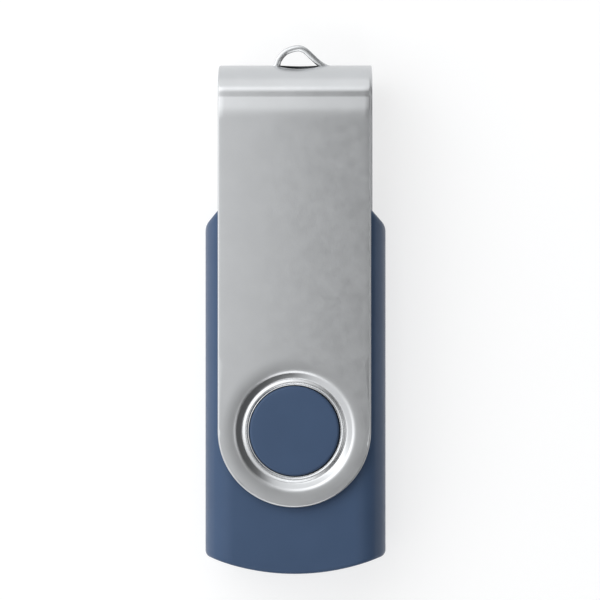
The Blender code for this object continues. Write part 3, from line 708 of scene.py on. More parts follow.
def ring_pads_tree():
    """Plated rings round via holes, on the input's points, thinned out at random with a fixed seed."""
    tree, given = new_tree(
        "ring_pads",
        [
            ("Pad Radius", "Float", 0.28 * MM),
            ("Hole Radius", "Float", 0.13 * MM),
            ("Height", "Float", 0.02 * MM),
            ("Share Kept", "Float", 0.5),
            ("Seed", "Int", 7),
            ("Material", "Material", None),
        ],
    )
    kept = add_node(
        tree,
        "FunctionNodeRandomValue",
        {"Probability": given["Share Kept"], "Seed": given["Seed"]},
        data_type="BOOLEAN",
    )
    circle = add_node(
        tree, "GeometryNodeCurvePrimitiveCircle", {"Resolution": 16, "Radius": given["Pad Radius"]}
    )
    width = add_node(
        tree, "ShaderNodeMath", {0: given["Pad Radius"], 1: given["Hole Radius"]}, operation="SUBTRACT"
    )
    section = add_node(
        tree,
        "GeometryNodeCurvePrimitiveQuadrilateral",
        {"Width": width.outputs[0], "Height": given["Height"]},
    )
    ring = add_node(
        tree, "GeometryNodeCurveToMesh", {"Curve": circle.outputs[0], "Profile Curve": section.outputs[0]}
    )
    pads = add_node(
        tree,
        "GeometryNodeInstanceOnPoints",
        {"Points": given["Geometry"], "Instance": ring.outputs[0]},
    )
    kept_value = next(s for s in kept.outputs if s.type == "BOOLEAN")
    tree.links.new(kept_value, pads.inputs["Selection"])
    return end_tree(tree, pads.outputs[0], given["Material"])


def grown_from(name, tree, points, is_path, values):
    """Runs a tree on a path or a set of points and bakes the result into a plain object."""
    edges = [(i, i + 1) for i in range(len(points) - 1)] if is_path else []
    mesh = bpy.data.meshes.new(name)
    mesh.from_pydata([tuple(p) for p in points], edges, [])
    obj = new_object(name, mesh)
    modifier = obj.modifiers.new("grow", "NODES")
    modifier.node_group = tree
    for item in tree.interface.items_tree:
        if item.in_out == "INPUT" and item.name in values:
            modifier[item.identifier] = values[item.name]
    return apply_modifiers(obj)


def strip_row(name, path, width, thickness, material, count=1, step=(0, 0, 0), edge=0.02 * MM):
    """A baked row of strips along path."""
    tree = bpy.data.node_groups.get("strip_row") or strip_row_tree()
    values = {
        "Strip Width": width,
        "Strip Thickness": thickness,
        "Edge Radius": edge,
        "Count": count,
        "Step": step,
        "Material": material,
    }
    return grown_from(name, tree, path, True, values)


# --- Housing ------------------------------------------------------------------------------------------


def value_at(points, x):
    """The height at x of the line through points, which are sorted by x."""
    for (x0, y0), (x1, y1) in zip(points, points[1:]):
        if x <= x1:
            return y0 + (y1 - y0) * (x - x0) / (x1 - x0) if x1 > x0 else y1
    return points[-1][1]


def corner_arc(before, corner, after, radius, steps=10):
    """An arc of the given radius that rounds the corner between two straight runs."""
    start_way = (Vector(before) - Vector(corner)).normalized()
    end_way = (Vector(after) - Vector(corner)).normalized()
    half = start_way.angle(end_way) / 2
    centre = Vector(corner) + (start_way + end_way).normalized() * radius / math.sin(half)
    start = Vector(corner) + start_way * radius / math.tan(half) - centre
    turn = start.angle_signed(Vector(corner) + end_way * radius / math.tan(half) - centre)
    return [centre + Matrix.Rotation(-turn * step / steps, 2) @ start for step in range(steps + 1)]


def nose_line(inset):
    """(x, y) of the nose and right shoulder, from the middle out."""
    half = BODY_HALF_WIDTH - inset
    nose_half = BODY_HALF_WIDTH - (NOSE_REACH - SHOULDER_REACH) * math.tan(SHOULDER_ANGLE)
    nose_half -= inset * (1 - math.sin(SHOULDER_ANGLE)) / math.cos(SHOULDER_ANGLE)
    shoulder = SHOULDER_REACH - inset * (1 - math.cos(SHOULDER_ANGLE)) / math.sin(SHOULDER_ANGLE)
    nose = NOSE_REACH - inset
    inner = corner_arc((0, nose), (nose_half, nose), (half, shoulder), NOSE_CORNER)
    outer = corner_arc((nose_half, nose), (half, shoulder), (half, 0), SHOULDER_CORNER)
    return [(0, nose)] + [(p.x, p.y) for p in inner + outer]


def tail_line(inset):
    """(x, y) of the right half of the arched tail, from the middle out, with its small corner."""
    half, radius, corner = BODY_HALF_WIDTH - inset, TAIL_RADIUS - inset, TAIL_CORNER
    steps = 60
    points = []
    for step in range(steps + 1):
        x = half * math.sin(math.pi / 2 * step / steps)
        rise = max(0.0, x - (half - corner))
        y = TAIL_RADIUS - TAIL_REACH - math.sqrt(radius**2 - x**2)
        points.append((x, y + corner - math.sqrt(max(corner**2 - rise**2, 0.0))))
    return points


def section_line(inset, low):
    """(x, height) across the right half of the housing's face and side, from the middle to the parting."""
    half = BODY_HALF_WIDTH - inset
    face_half = FACE_HALF_WIDTH - inset * 0.6
    height = BODY_HALF_HEIGHT - inset
    edge = height - FACE_CROWN
    radius = ((half - face_half) ** 2 + edge**2) / (2 * (half - face_half))

    def face(x):
        return Vector((x, height - FACE_CROWN * (x / face_half) ** 2))

    def side(angle):
        return Vector((half - radius + radius * math.cos(angle), radius * math.sin(angle)))

    top, bottom = math.asin(edge / radius) - FACE_BLEND / radius, math.asin(max(low, 0.0) / radius)
    points = [face((face_half - FACE_BLEND) * step / 10) for step in range(11)]
    start, corner, end = points[-1], face(face_half), side(top)
    for step in range(1, 12):
        t = step / 12
        points.append(start * (1 - t) ** 2 + corner * 2 * t * (1 - t) + end * t**2)
    points += [side(top + (bottom - top) * step / 20) for step in range(21)]
    return [(p.x, p.y) for p in points]


def housing_form(name, inset, low, floor, end_radius):
    """The closed form between floor and the housing's upper face, taken in by inset."""
    half_line = section_line(inset, low)
    if floor < low:
        half_line.append((half_line[-1][0], floor))
    columns = [(-x, z) for x, z in reversed(half_line)] + half_line[1:]
    nose, tail = nose_line(inset), tail_line(inset)
    round_steps, rows = 6, 8
    edit = bmesh.new()
    grid = []
    for x, height in columns:
        ends = []
        for line, way in ((tail, 1), (nose, -1)):
            reach = value_at(line, abs(x))
            lean = (value_at(line, abs(x) + 0.02 * MM) - value_at(line, abs(x) - 0.02 * MM)) / (0.04 * MM)
            stretch = min(math.hypot(1, lean), 2.5)
            radius = min(end_radius, max(height - floor, 0) * 0.5)
            run = [(reach, floor), (reach, height - radius)]
            for step in range(1, round_steps + 1):
                angle = math.pi / 2 * step / round_steps
                drop = radius * (1 - math.sin(angle))
                run.append((reach + way * stretch * radius * (1 - math.cos(angle)), height - drop))
            ends.append(run)
        (y0, z0), (y1, z1) = ends[0][-1], ends[1][-1]
        between = [(y0 + (y1 - y0) * k / rows, z0 + (z1 - z0) * k / rows) for k in range(1, rows)]
        line = ends[0] + between + ends[1][::-1]
        grid.append([edit.verts.new((x, y, z)) for y, z in line])
    for left, right in zip(grid, grid[1:]):
        for k in range(len(left) - 1):
            edit.faces.new((left[k], right[k], right[k + 1], left[k + 1]))
    rim = grid[0] + [column[-1] for column in grid[1:-1]] + grid[-1][::-1]
    rim += [column[0] for column in reversed(grid[1:-1])]
    edit.faces.new(rim)
    return from_edit(name, edit)


def boss_cup(name):
    """The slightly crowned boss, the groove round it and the cup that carries both."""
    cap = [(BOSS_RADIUS * k / 8, BOSS_TOP - BOSS_CROWN * (k / 8) ** 2) for k in range(7)]
    for step in range(9):
        angle = math.pi / 2 * (1 - step / 8)
        radius = BOSS_RADIUS - BOSS_EDGE + BOSS_EDGE * math.cos(angle)
        cap.append((radius, BOSS_TOP - BOSS_CROWN - BOSS_EDGE + BOSS_EDGE * math.sin(angle)))
    groove = [(BOSS_RADIUS, GROOVE_FLOOR), (CUP_RADIUS, GROOVE_FLOOR), (CUP_RADIUS, 2.5 * MM)]
    inside = [(3.5 * MM, 2.5 * MM), (3.5 * MM, 4.1 * MM), (0, 4.1 * MM)]
    return turned(name, [*cap, *groove, *inside])


def upright(name, radius, low, high, x=0.0, y=0.0, top_radius=None, segments=32):
    edit = bmesh.new()
    bmesh.ops.create_cone(
        edit,
        cap_ends=True,
        segments=segments,
        radius1=radius,
        radius2=radius if top_radius is None else top_radius,
        depth=high - low,
        matrix=Matrix.Translation((x, y, (low + high) / 2)),
    )
    return from_edit(name, edit)


def slab(name, low, high):
    """A block wider than the drive, to trim with."""
    reach = 60 * MM
    return block(name, (-reach, -reach, low), (reach, reach, high))


def housing_shell(name, is_front, edge):
    """One half of the housing with its face towards +Z."""
    shell = housing_form(name, 0, PARTING, PARTING, edge)
    combine(shell, housing_form("cavity", WALL, 0, -1 * MM, 0.3 * MM), "DIFFERENCE")
    if is_front:
        rebate = housing_form("rebate", REBATE_INSET, 0, -1 * MM, 0.2 * MM)
        combine(rebate, slab("above", REBATE_HEIGHT, 9 * MM), "DIFFERENCE")
        combine(shell, rebate, "DIFFERENCE")
    else:
        lip = housing_form("lip", LIP_INSET, 0, -LIP_DROP, 0.2 * MM)
        combine(lip, slab("above", LIP_HEIGHT, 9 * MM), "DIFFERENCE")
        combine(lip, housing_form("inside", WALL, 0, -1 * MM, 0.3 * MM), "DIFFERENCE")
        combine(shell, lip, "UNION")
    low, high = 2.0 * MM, 5.6 * MM
    cone = upright(
        "groove",
        GROOVE_RADIUS + (low - GROOVE_FLOOR) * GROOVE_FLARE,
        low,
        high,
        top_radius=GROOVE_RADIUS + (high - GROOVE_FLOOR) * GROOVE_FLARE,
        segments=128,
    )
    cone.data.transform(Matrix.Rotation(math.pi / 128, 4, "Z"))
    combine(shell, cone, "DIFFERENCE")
    combine(shell, boss_cup("cup"), "UNION")
    post_low = PARTING if is_front else BOARD_THICKNESS - BOARD_TOP + 0.1 * MM
    for side in (-1, 1):
        for y in POST_ENDS:
            x, size = side * POST_X, Vector((0.38 * MM, 0.45 * MM, 0))
            low, high = Vector((x, y, post_low)) - size, Vector((x, y, ROOT_IN_WALL)) + size
            combine(shell, block("post", low, high, 0.05 * MM), "UNION")
        for x, y in ((x * side, y) for x, y in STUDS):
            combine(shell, upright("base", 0.95 * MM, 0.24 * MM, ROOT_IN_WALL, x, y), "UNION")
            if is_front:
                combine(shell, upright("bore", 0.65 * MM, 0, 1.6 * MM, x, y), "DIFFERENCE")
            else:
                combine(shell, upright("stud", 0.5 * MM, -1.2 * MM, ROOT_IN_WALL, x, y), "UNION")
    half_width, half_height = PLUG_HALF_WIDTH + PLUG_GAP, PLUG_HALF_HEIGHT + PLUG_GAP
    low = (-half_width, NOSE_REACH - 3 * WALL, -half_height)
    high = (half_width, NOSE_REACH * 2, half_height)
    return combine(shell, block("opening", low, high), "DIFFERENCE")


# --- Swivel cover -------------------------------------------------------------------------------------


def drawn_depth(radius):
    """How deep the seat's outer face lies below the arm, without the tight turns that pressing adds."""
    return value_at([(r * MM, depth * MM) for r, depth in DRAWN_SEAT], radius)


def seat_radii():
    """Radii of the rings that the seat is built on, closest where the sheet turns."""
    steps = 58
    first, last = DRAWN_SEAT[0][0] * MM, SEAT_RIM
    return [first + (last - first) * (step / steps) ** 1.25 for step in range(steps + 1)]


def press_seats(obj):
    """Gives the outer face of both seats its rolled lip, valley and tight shoulder."""
    pressed = [(p.x, p.y) for p in smooth_path([(r * MM, depth * MM) for r, depth in PRESSED_SEAT], 4)]
    for vert in obj.data.vertices:
        radius = vert.co.xy.length
        if radius < SEAT_RIM:
            depth = drawn_depth(radius)
            if abs(COVER_HALF_THICKNESS - depth - abs(vert.co.z)) < 2e-6:
                vert.co.z += math.copysign(depth - value_at(pressed, radius), vert.co.z)


def bow(obj):
    """Hollows both arms a little across their width, as a sheet is after it is slit and bent."""
    half = settings().cover.width / 2
    for vert in obj.data.vertices:
        vert.co.z *= 1 - ARM_BOW * (1 - min((vert.co.x / half) ** 2, 1)) / COVER_HALF_THICKNESS


def seat_edge(angle):
    """The cover's outline round its seat: a half circle at the tail, square corners towards the plug."""
    half = settings().cover.width / 2
    across, along = math.cos(angle), math.sin(angle)
    if along > 0:
        half /= max(abs(across), along)
    return Vector((across * half, along * half, COVER_HALF_THICKNESS))


def grow(edit, edges, place):
    """Extrudes edges and moves each new corner to place(its position). Returns the new outer edges."""
    grown = bmesh.ops.extrude_edge_only(edit, edges=edges)["geom"]
    outer = [item for item in grown if isinstance(item, bmesh.types.BMEdge)]
    for vert in {v for e in outer for v in e.verts}:
        vert.co = place(vert.co)
    return outer


def ramp(share):
    """From 0 to 1, easing in over the first half and then straight, to end in a crease."""
    return (share * share if share < 0.5 else share - 0.25) / 0.75


def cover_surface(name):
    """The outer face of both arms and the bend, as one open surface."""
    edit = bmesh.new()
    verts = [edit.verts.new((r, 0, COVER_HALF_THICKNESS - drawn_depth(r))) for r in seat_radii()]
    edges = [edit.edges.new(pair) for pair in zip(verts, verts[1:])]
    spin(edit, verts + edges, SEAT_STEPS)
    border = [e for e in edit.edges if e.is_boundary and e.verts[0].co.xy.length > SEAT_RIM - 0.1 * MM]
    rings = 4
    for ring in range(1, rings + 1):
        share = ring / rings

        def place(co):
            angle = math.atan2(co.y, co.x)
            rim = Vector((math.cos(angle) * SEAT_RIM, math.sin(angle) * SEAT_RIM, COVER_HALF_THICKNESS))
            return rim.lerp(seat_edge(angle), share)

        border = grow(edit, border, place)
    half = settings().cover.width / 2
    front = [e for e in border if all(v.co.y > half - MERGE * 10 for v in e.verts)]
    for y in (14 * MM, 20 * MM, 26 * MM):
        front = grow(edit, front, lambda co: Vector((co.x, y, COVER_HALF_THICKNESS)))
    for step in range(13):
        share = step / 12
        y = NECK_START + (NECK_BOTTOM - NECK_START) * share
        z = COVER_HALF_THICKNESS - NECK_DEPTH * ramp(share)
        front = grow(edit, front, lambda co: Vector((co.x, y, z)))
    for step in range(25):
        angle = math.pi / 2 * step / 24
        y = ROLL_START + (COVER_REACH - ROLL_START) * math.sin(angle)
        z = ROLL_HALF_THICKNESS * math.cos(angle) if step < 24 else 0.0
        front = grow(edit, front, lambda co: Vector((co.x, y, z)))
    bmesh.ops.recalc_face_normals(edit, faces=edit.faces)
    edit.normal_update()
    if sum(f.normal.z for f in edit.faces) < 0:
        bmesh.ops.reverse_faces(edit, faces=edit.faces)
    return to_object(name, edit)


def round_rims(obj, width, angle=60, chosen=None):
    """Rounds the sharp edges of an object, or those whose middle passes the test chosen."""
    edit = bmesh.new()
    edit.from_mesh(obj.data)
    edges = [e for e in edit.edges if chosen is None or chosen((e.verts[0].co + e.verts[1].co) / 2)]
    bevel_sharp(edit, edges, width, 4, angle)
    edit.to_mesh(obj.data)
    edit.free()


def mark_painted_shade_lip(obj, index):
    """Gives the eye's lower lip, where the loop was lanced from the sheet, a dark material that paints the
    shade it lies in.
    """
    low = EYE_CENTRE.y - EYE_HALF_SIZE.y
    for face in obj.data.polygons:
        x, y, z = face.center
        in_eye = abs(x - EYE_CENTRE.x) < EYE_HALF_SIZE.x and low - 0.2 * MM < z < EYE_CENTRE.y + 0.6 * MM
        if in_eye and y > COVER_REACH - 1.2 * MM and face.normal.z > 0.2:
            face.material_index = index


def loop_path():
    """The key-ring loop's middle line, standing up: steep on its left side and slanting on its right."""
    route = [
        (-3.1, 38.09),
        (-2.35, 38.12),
        (-1.93, 38.56),
        (-1.7, 39.15),
        (-0.97, 39.93),
        (0.2, 40.3),
        (0.95, 40.1),
        (1.7, 39.45),
        (2.5, 38.72),
        (3.4, 38.2),
        (4.2, 38.08),
    ]
    return [Vector((p.x, 0, p.y)) for p in smooth_path([(x * MM, y * MM) for x, y in route], 6)]


def eye_cutter(name):
    """The oval eye under the loop, nearer the bend's front."""
    steps = 72
    oval = []
    for step in range(steps):
        angle = 2 * math.pi * step / steps
        x = EYE_CENTRE.x + EYE_HALF_SIZE.x * math.cos(angle)
        oval.append((x, EYE_CENTRE.y + EYE_HALF_SIZE.y * math.sin(angle)))
    return prism(name, oval, ROLL_START - MM, COVER_REACH + 3 * MM, "Y")


# --- Plug ---------------------------------------------------------------------------------------------


def plug_ring(inset):
    """(x, z) round the plug's shell, taken in by inset, with its folded corners."""
    width, height = (PLUG_HALF_WIDTH - inset) * 2, (PLUG_HALF_HEIGHT - inset) * 2
    return rounded_box(width, height, PLUG_CORNER_RADIUS - inset, steps=6)


def rounded_box(width, length, radius, x=0.0, y=0.0, steps=5):
    """(x, y) round a rectangle with rounded corners."""
    across, along = width / 2 - radius, length / 2 - radius
    ring = []
    for quarter, (u, v) in enumerate(((1, 1), (-1, 1), (-1, -1), (1, -1))):
        for step in range(steps + 1):
            angle = math.pi / 2 * (quarter + step / steps)
            ring.append((x + u * across + radius * math.cos(angle), y + v * along + radius * math.sin(angle)))
    return ring


def plug_shell():
    """The shell folded from one sheet: four latch windows, a dovetailed seam and two legs."""
    shell = prism("plug", plug_ring(0), PLUG_BACK, PLUG_REACH, "Y")
    combine(shell, prism("hollow", plug_ring(PLUG_SHEET), PLUG_BACK - MM, PLUG_REACH + MM, "Y"), "DIFFERENCE")
    reach = PLUG_HALF_HEIGHT * 2
    for side in (-1, 1):
        outline = rounded_box(*WINDOW_SIZE, 0.25 * MM, side * WINDOW_X, WINDOW_Y)
        combine(shell, prism("window", outline, -reach, reach), "DIFFERENCE")
        outer, inner = side * PLUG_HALF_WIDTH, side * (PLUG_HALF_WIDTH - PLUG_SHEET)
        leg = [(17.4, -2.0), (19.0, -2.0), (19.0, -1.2), (20.8, -1.2), (20.8, 1.0), (17.4, 0.6)]
        outline = [(y * MM, z * MM) for y, z in leg]
        combine(shell, prism("leg", outline, min(outer, inner), max(outer, inner), "X"), "UNION")
    seam = [(0, 20), (0, 25.2), (0.9, 24.9), (0.9, 26.7), (0, 26.4), (0, 31.4), (-0.9, 31.1), (-0.9, 32.9)]
    seam += [(0, 32.6), (0, 37)]
    bottom, top = -PLUG_HALF_HEIGHT - 0.1 * MM, -PLUG_HALF_HEIGHT + 0.08 * MM
    for (x0, y0), (x1, y1) in zip(seam, seam[1:]):
        start, end = Vector((x0, y0)) * MM, Vector((x1, y1)) * MM
        along = (end - start).normalized() * SEAM_HALF_WIDTH
        across = Vector((-along.y, along.x))
        corners = [start - along - across, end + along - across, end + along + across, start - along + across]
        combine(shell, prism("seam", [tuple(c) for c in corners], bottom, top), "DIFFERENCE")
    round_rims(shell, 0.04 * MM, 60)
    return shell


def plug_tongue():
    """The insulator: a block in the back of the shell, and a tongue with four grooves and a sloped tip."""
    height = PLUG_HALF_HEIGHT - PLUG_SHEET - 0.12 * MM
    half_width = PLUG_HALF_WIDTH - PLUG_SHEET - 0.12 * MM
    tip = 0.5 * MM
    outline = [
        (TONGUE_BACK, -height),
        (TONGUE_FRONT - tip, -height),
        (TONGUE_FRONT, -height + 0.3 * MM),
        (TONGUE_FRONT, -0.35 * MM),
        (TONGUE_FRONT - tip, 0),
        (TONGUE_BLOCK, 0),
        (TONGUE_BLOCK, height),
        (TONGUE_BACK, height),
    ]
    tongue = prism("tongue", outline, -half_width, half_width, "X", 0.1 * MM)
    for x, front in CONTACTS.values():
        half = 0.6 * MM
        low = (x - half, TONGUE_BACK - MM, -0.4 * MM)
        combine(tongue, block("groove", low, (x + half, front + 0.1 * MM, 0.03 * MM)), "DIFFERENCE")
    for side in (-1, 1):
        # Flow relief behind each latch window
        x = side * WINDOW_X
        low = (x - 0.9 * MM, TONGUE_BLOCK - 1.6 * MM, height - 0.25 * MM)
        relief = block("relief", low, (x + 0.9 * MM, TONGUE_BLOCK - 0.5 * MM, height + MM))
        combine(tongue, relief, "DIFFERENCE")
    return tongue


def contact_path(front):
    """A contact's middle line: flat over the board and the tongue, its tip dipping into its groove."""
    flat = CONTACT_MIDDLE
    tip = [(front - 0.75 * MM, flat), (front - 0.45 * MM, flat - 0.015 * MM), (front, flat - 0.09 * MM)]
    return [Vector((0, y, z)) for y, z in [(CONTACT_BACK, flat), (24 * MM, flat), (30 * MM, flat), *tip]]


# --- Circuit board ------------------------------------------------------------------------------------


def board_slab(name):
    """The drilled board. Its faces are material 0 and its cut edges material 1."""
    outline = [
        *rounded_box(BOARD_HALF_WIDTH * 2, 4 * MM, 0.8 * MM, 0, BOARD_BACK + 2 * MM)[12:],
        (BOARD_HALF_WIDTH, BOARD_SHOULDER - 0.3 * MM),
        (BOARD_HALF_WIDTH - 0.3 * MM, BOARD_SHOULDER),
        (BOARD_NECK_HALF_WIDTH, BOARD_SHOULDER),
        (BOARD_NECK_HALF_WIDTH, BOARD_FRONT - 0.3 * MM),
        (BOARD_NECK_HALF_WIDTH - 0.3 * MM, BOARD_FRONT),
        (-BOARD_NECK_HALF_WIDTH + 0.3 * MM, BOARD_FRONT),
        (-BOARD_NECK_HALF_WIDTH, BOARD_FRONT - 0.3 * MM),
        (-BOARD_NECK_HALF_WIDTH, BOARD_SHOULDER),
        (-BOARD_HALF_WIDTH + 0.3 * MM, BOARD_SHOULDER),
        (-BOARD_HALF_WIDTH, BOARD_SHOULDER - 0.3 * MM),
    ]
    slab = prism(name, outline, BOARD_TOP - BOARD_THICKNESS, BOARD_TOP)
    for x, y in ((-5.6, -8.6), (5.6, -8.6), (-3.2, 17.9), (3.2, 17.9)):
        low, high = BOARD_TOP - 2 * MM, BOARD_TOP + MM
        combine(slab, upright("hole", 0.45 * MM, low, high, x * MM, y * MM), "DIFFERENCE")
    for face in slab.data.polygons:
        face.material_index = 0 if abs(face.normal.z) > 0.5 else 1
    return slab


def via_points():
    """A 1.2 mm grid of places for vias, off the middle of both chips."""
    points = []
    for column in range(-5, 6):
        for row in range(-7, 14):
            x, y = column * 1.2 * MM, row * 1.2 * MM
            if abs(x) > 2.4 * MM or not 8 * MM < y < 16 * MM:
                points.append(Vector((x, y, 0)))
    return points


def lead_pads(size, rows, material):
    """The tinned pads under a package's lead rows, flat on the board at height zero."""
    pads = []
    for side, count, pitch, reach in rows:
        outward, edge, first, step = lead_row_frame(side, size, count, pitch)
        start = outward * (edge - 0.1 * MM) + first
        path = [start, start + outward * (reach * MM + 0.25 * MM)]
        flat = [Vector((p.x, p.y, 0.01 * MM)) for p in path]
        width = pitch * MM * 0.55
        pads.append(strip_row("pads", flat, width, PAD_HEIGHT, material, count, step, 0.004 * MM))
    return pads


def seat_part(piece, place, on_top, materials, slot, node):
    """Finishes a part that stands a little off the board."""
    piece.data.transform(Matrix.Translation((0, 0, SEAT_GAP)))
    finish_piece(on_board(piece, place, on_top), materials, "housing", slot, [node])


def on_board(obj, place, on_top):
    """Carries a piece built upright at the origin to its place on the board's top or underside."""
    x, y = place
    height = BOARD_TOP if on_top else BOARD_TOP - BOARD_THICKNESS
    turn = Matrix.Identity(4) if on_top else Matrix.Rotation(math.pi, 4, "Y")
    obj.data.transform(Matrix.Translation((x * MM, y * MM, height)) @ turn)
    return obj


def lead_row_frame(side, size, count, pitch):
    """Of a row such as "-x": (outward, distance to the package's side, first lead's place, step)."""
    sign = -1 if side[0] == "-" else 1
    along_x = side[1] == "x"
    outward = Vector((sign, 0, 0)) if along_x else Vector((0, sign, 0))
    across = Vector((0, 1, 0)) if along_x else Vector((1, 0, 0))
    edge = size[0 if along_x else 1] * MM / 2
    return outward, edge, -across * pitch * MM * (count - 1) / 2, across * pitch * MM


def package(size, rows, tin):
    """A moulded package on gull-wing leads, its feet at height zero: drafted sides, a pin-one dimple."""
    width, length, height = (value * MM for value in size)
    low, middle = 0.05 * MM, height * 0.48
    draft = min(0.06 * MM, width * 0.03)
    sides = (-width / 2, -length / 2), (width / 2, length / 2)
    lower = block("lower", (*sides[0], low), (*sides[1], middle))
    upper = block("upper", (*sides[0], middle), (*sides[1], height), top_taper=draft)
    for vert in lower.data.vertices:
        if vert.co.z < middle / 2:
            vert.co.x -= math.copysign(draft, vert.co.x)
            vert.co.y -= math.copysign(draft, vert.co.y)
    body = combine(upper, lower, "UNION")
    round_rims(body, 0.03 * MM, 60)
    dimple = min(0.5 * MM, width * 0.12)
    spot = (-width / 2 + 2.2 * dimple, -length / 2 + 2.2 * dimple)
    combine(body, upright("dimple", dimple, height - 0.05 * MM, height + MM, *spot), "DIFFERENCE")
    pieces = [(body, 0)]
    for side, count, pitch, reach in rows:
        outward, edge, first, step = lead_row_frame(side, size, count, pitch)
        thick = 0.13 * MM
        sole = thick * 0.5 + 0.02 * MM
        line = [(-0.25, middle), (0.12 * reach, middle), (0.28 * reach, middle - 0.04 * MM)]
        line += [(0.46 * reach, thick), (0.58 * reach, sole), (reach, sole)]
        path = [first + outward * (edge + out * MM) + Vector((0, 0, z)) for out, z in line]
        pieces.append((strip_row("leads", path, pitch * MM * 0.44, thick, tin, count, step), 1))
    return joined("package", pieces)


def capped_block(size, body, tin, top=None):
    """A chip part: a body between two tinned end caps, and a printed top coat where it has one."""
    width, length, height = (value * MM for value in size)
    inset, cap = 0.02 * MM, length * 0.22
    x, y = width / 2, length / 2
    core = block("core", (-x + inset, -y + inset, inset), (x - inset, y - inset, height - inset))
    pieces = [(core, 0)]
    for start, end in ((-y, -y + cap), (y - cap, y)):
        pieces.append((block("cap", (-x, start, 0), (x, end, height), 0.05 * MM), 1))
    materials = [body, tin]
    if top:
        low, high = (-x + inset, -y + cap, height / 2), (x - inset, y - cap, height - 0.008 * MM)
        pieces.append((block("coat", low, high), 2))
        materials.append(top)
    return joined("part", pieces), materials


def crystal_can(size):
    """A drawn can with round ends, welded onto its thin base."""
    width, length, height = (value * MM for value in size)
    base = prism("base", rounded_box(width, length, 0.3 * MM), 0, 0.18 * MM, edge=0.04 * MM)
    outline = rounded_box(width - 0.4 * MM, length - 0.4 * MM, 1.1 * MM, steps=12)
    return combine(prism("can", outline, 0.1 * MM, height, edge=0.22 * MM), base, "UNION")


def lamp(size):
    """The indicator: a white base with two tinned ends and a clear lens with sloped sides."""
    width, length, height = (value * MM for value in size)
    half_x, half_y = width / 2, length / 2
    base = block("base", (-half_x, -half_y, 0), (half_x, half_y, height * 0.4), 0.03 * MM)
    low, high = (-half_x * 0.72, -half_y, height * 0.38), (half_x * 0.72, half_y, height)
    lens = block("lens", low, high, 0.08 * MM, 3, 0.06 * MM)
    pieces = [(base, 1), (lens, 0)]
    for side in (-1, 1):
        low, high = sorted((side * half_x, side * half_x * 0.74))
        end = block("end", (low, -half_y, 0), (high, half_y, height * 0.42), 0.02 * MM)
        pieces.append((end, 2))
    return joined("lamp", pieces)


# --- Settings -----------------------------------------------------------------------------------------


def length(name, description, default):
    shown = {"precision": 5, "unit": "LENGTH", "subtype": "DISTANCE"}
    return bpy.props.FloatProperty(name=name, description=description, default=default, min=0, **shown)


def colour(name, description, code):
    return bpy.props.FloatVectorProperty(
        name=name, description=description, default=linear(code), min=0, max=1, size=3, subtype="COLOR"
    )


class HousingSettings(bpy.types.PropertyGroup):
    plastic: colour("Plastic", "Colour of the lacquered housing", "#42546F")
    edge: length("End Edge", "Radius of the housing's edges at its nose and tail", 0.4 * MM)


class CoverSettings(bpy.types.PropertyGroup):
    width: length("Width", "Width of the cover's arms", 16.1 * MM)
    sheet: length("Sheet", "Thickness of the cover's sheet", 0.6 * MM)
    rim: length("Rim", "Radius of the sheet's tumbled edges", 0.26 * MM)
    steel: colour("Steel", "Colour of the satin sheet", "#C4C6C8")
    roughness: bpy.props.FloatProperty(
        name="Roughness",
        description="How matt the satin sheet is",
        default=0.3,
        min=0.05,
        max=1,
        subtype="FACTOR",
    )


class PlugSettings(bpy.types.PropertyGroup):
    nickel: colour("Nickel", "Colour of the plug's shell", "#CFCDC8")
    tongue: colour("Insulator", "Colour of the plug's moulded tongue", "#E6E6E0")
    gold: colour("Gold", "Colour of the plug's contacts", "#E3BC68")


class BoardSettings(bpy.types.PropertyGroup):
    mask: colour("Solder Mask", "Colour of the circuit board", "#1C5B3C")
    tracks: colour("Tracks", "Colour of the copper seen through the mask", "#2F7A4E")


class PartsSettings(bpy.types.PropertyGroup):
    mould: colour("Mould Compound", "Colour of the moulded packages", "#1B1B1D")
    ceramic: colour("Ceramic", "Colour of the capacitors", "#A8835C")


class StageSettings(bpy.types.PropertyGroup):
    floor: colour("Floor", "Colour of the opal table top", "#999A9B")
    camera_turn: bpy.props.FloatProperty(
        name="Camera Turn",
        description="Turn of the camera towards +X",
        default=math.radians(1.4),
        subtype="ANGLE",
    )
    camera_distance: length("Camera Distance", "From the camera to the cover's face", 966 * MM)


class DriveSettings(bpy.types.PropertyGroup):
    housing: bpy.props.PointerProperty(type=HousingSettings, name="Housing", description="Housing")
    cover: bpy.props.PointerProperty(type=CoverSettings, name="Cover", description="Swivel cover")
    plug: bpy.props.PointerProperty(type=PlugSettings, name="Plug", description="USB plug")
    board: bpy.props.PointerProperty(type=BoardSettings, name="Board", description="Circuit board")
    parts: bpy.props.PointerProperty(type=PartsSettings, name="Board Parts", description="Chips and parts")
    stage: bpy.props.PointerProperty(type=StageSettings, name="Stage", description="Floor, lights and camera")


def settings():
    return bpy.context.scene.usb_drive


# --- Operators ----------------------------------------------------------------------------------------


class USBDRIVE_OT_housing(bpy.types.Operator):
    """Build the two halves of the plastic housing"""

    bl_idname = "usbdrive.housing"
    bl_label = "Housing"

    def execute(self, context):
        values = context.scene.usb_drive.housing
        plastic = soft_touch_abs(tuple(values.plastic))
        for name, is_front in (("front_housing", True), ("rear_housing", False)):
            shell = housing_shell(name, is_front, values.edge)
            if not is_front:
                shell.data.transform(Matrix.Rotation(math.pi, 4, "Y"))
            finish_piece(shell, [plastic], "housing", "blue_plastic", [name + "_shell"], 28)
        return {"FINISHED"}


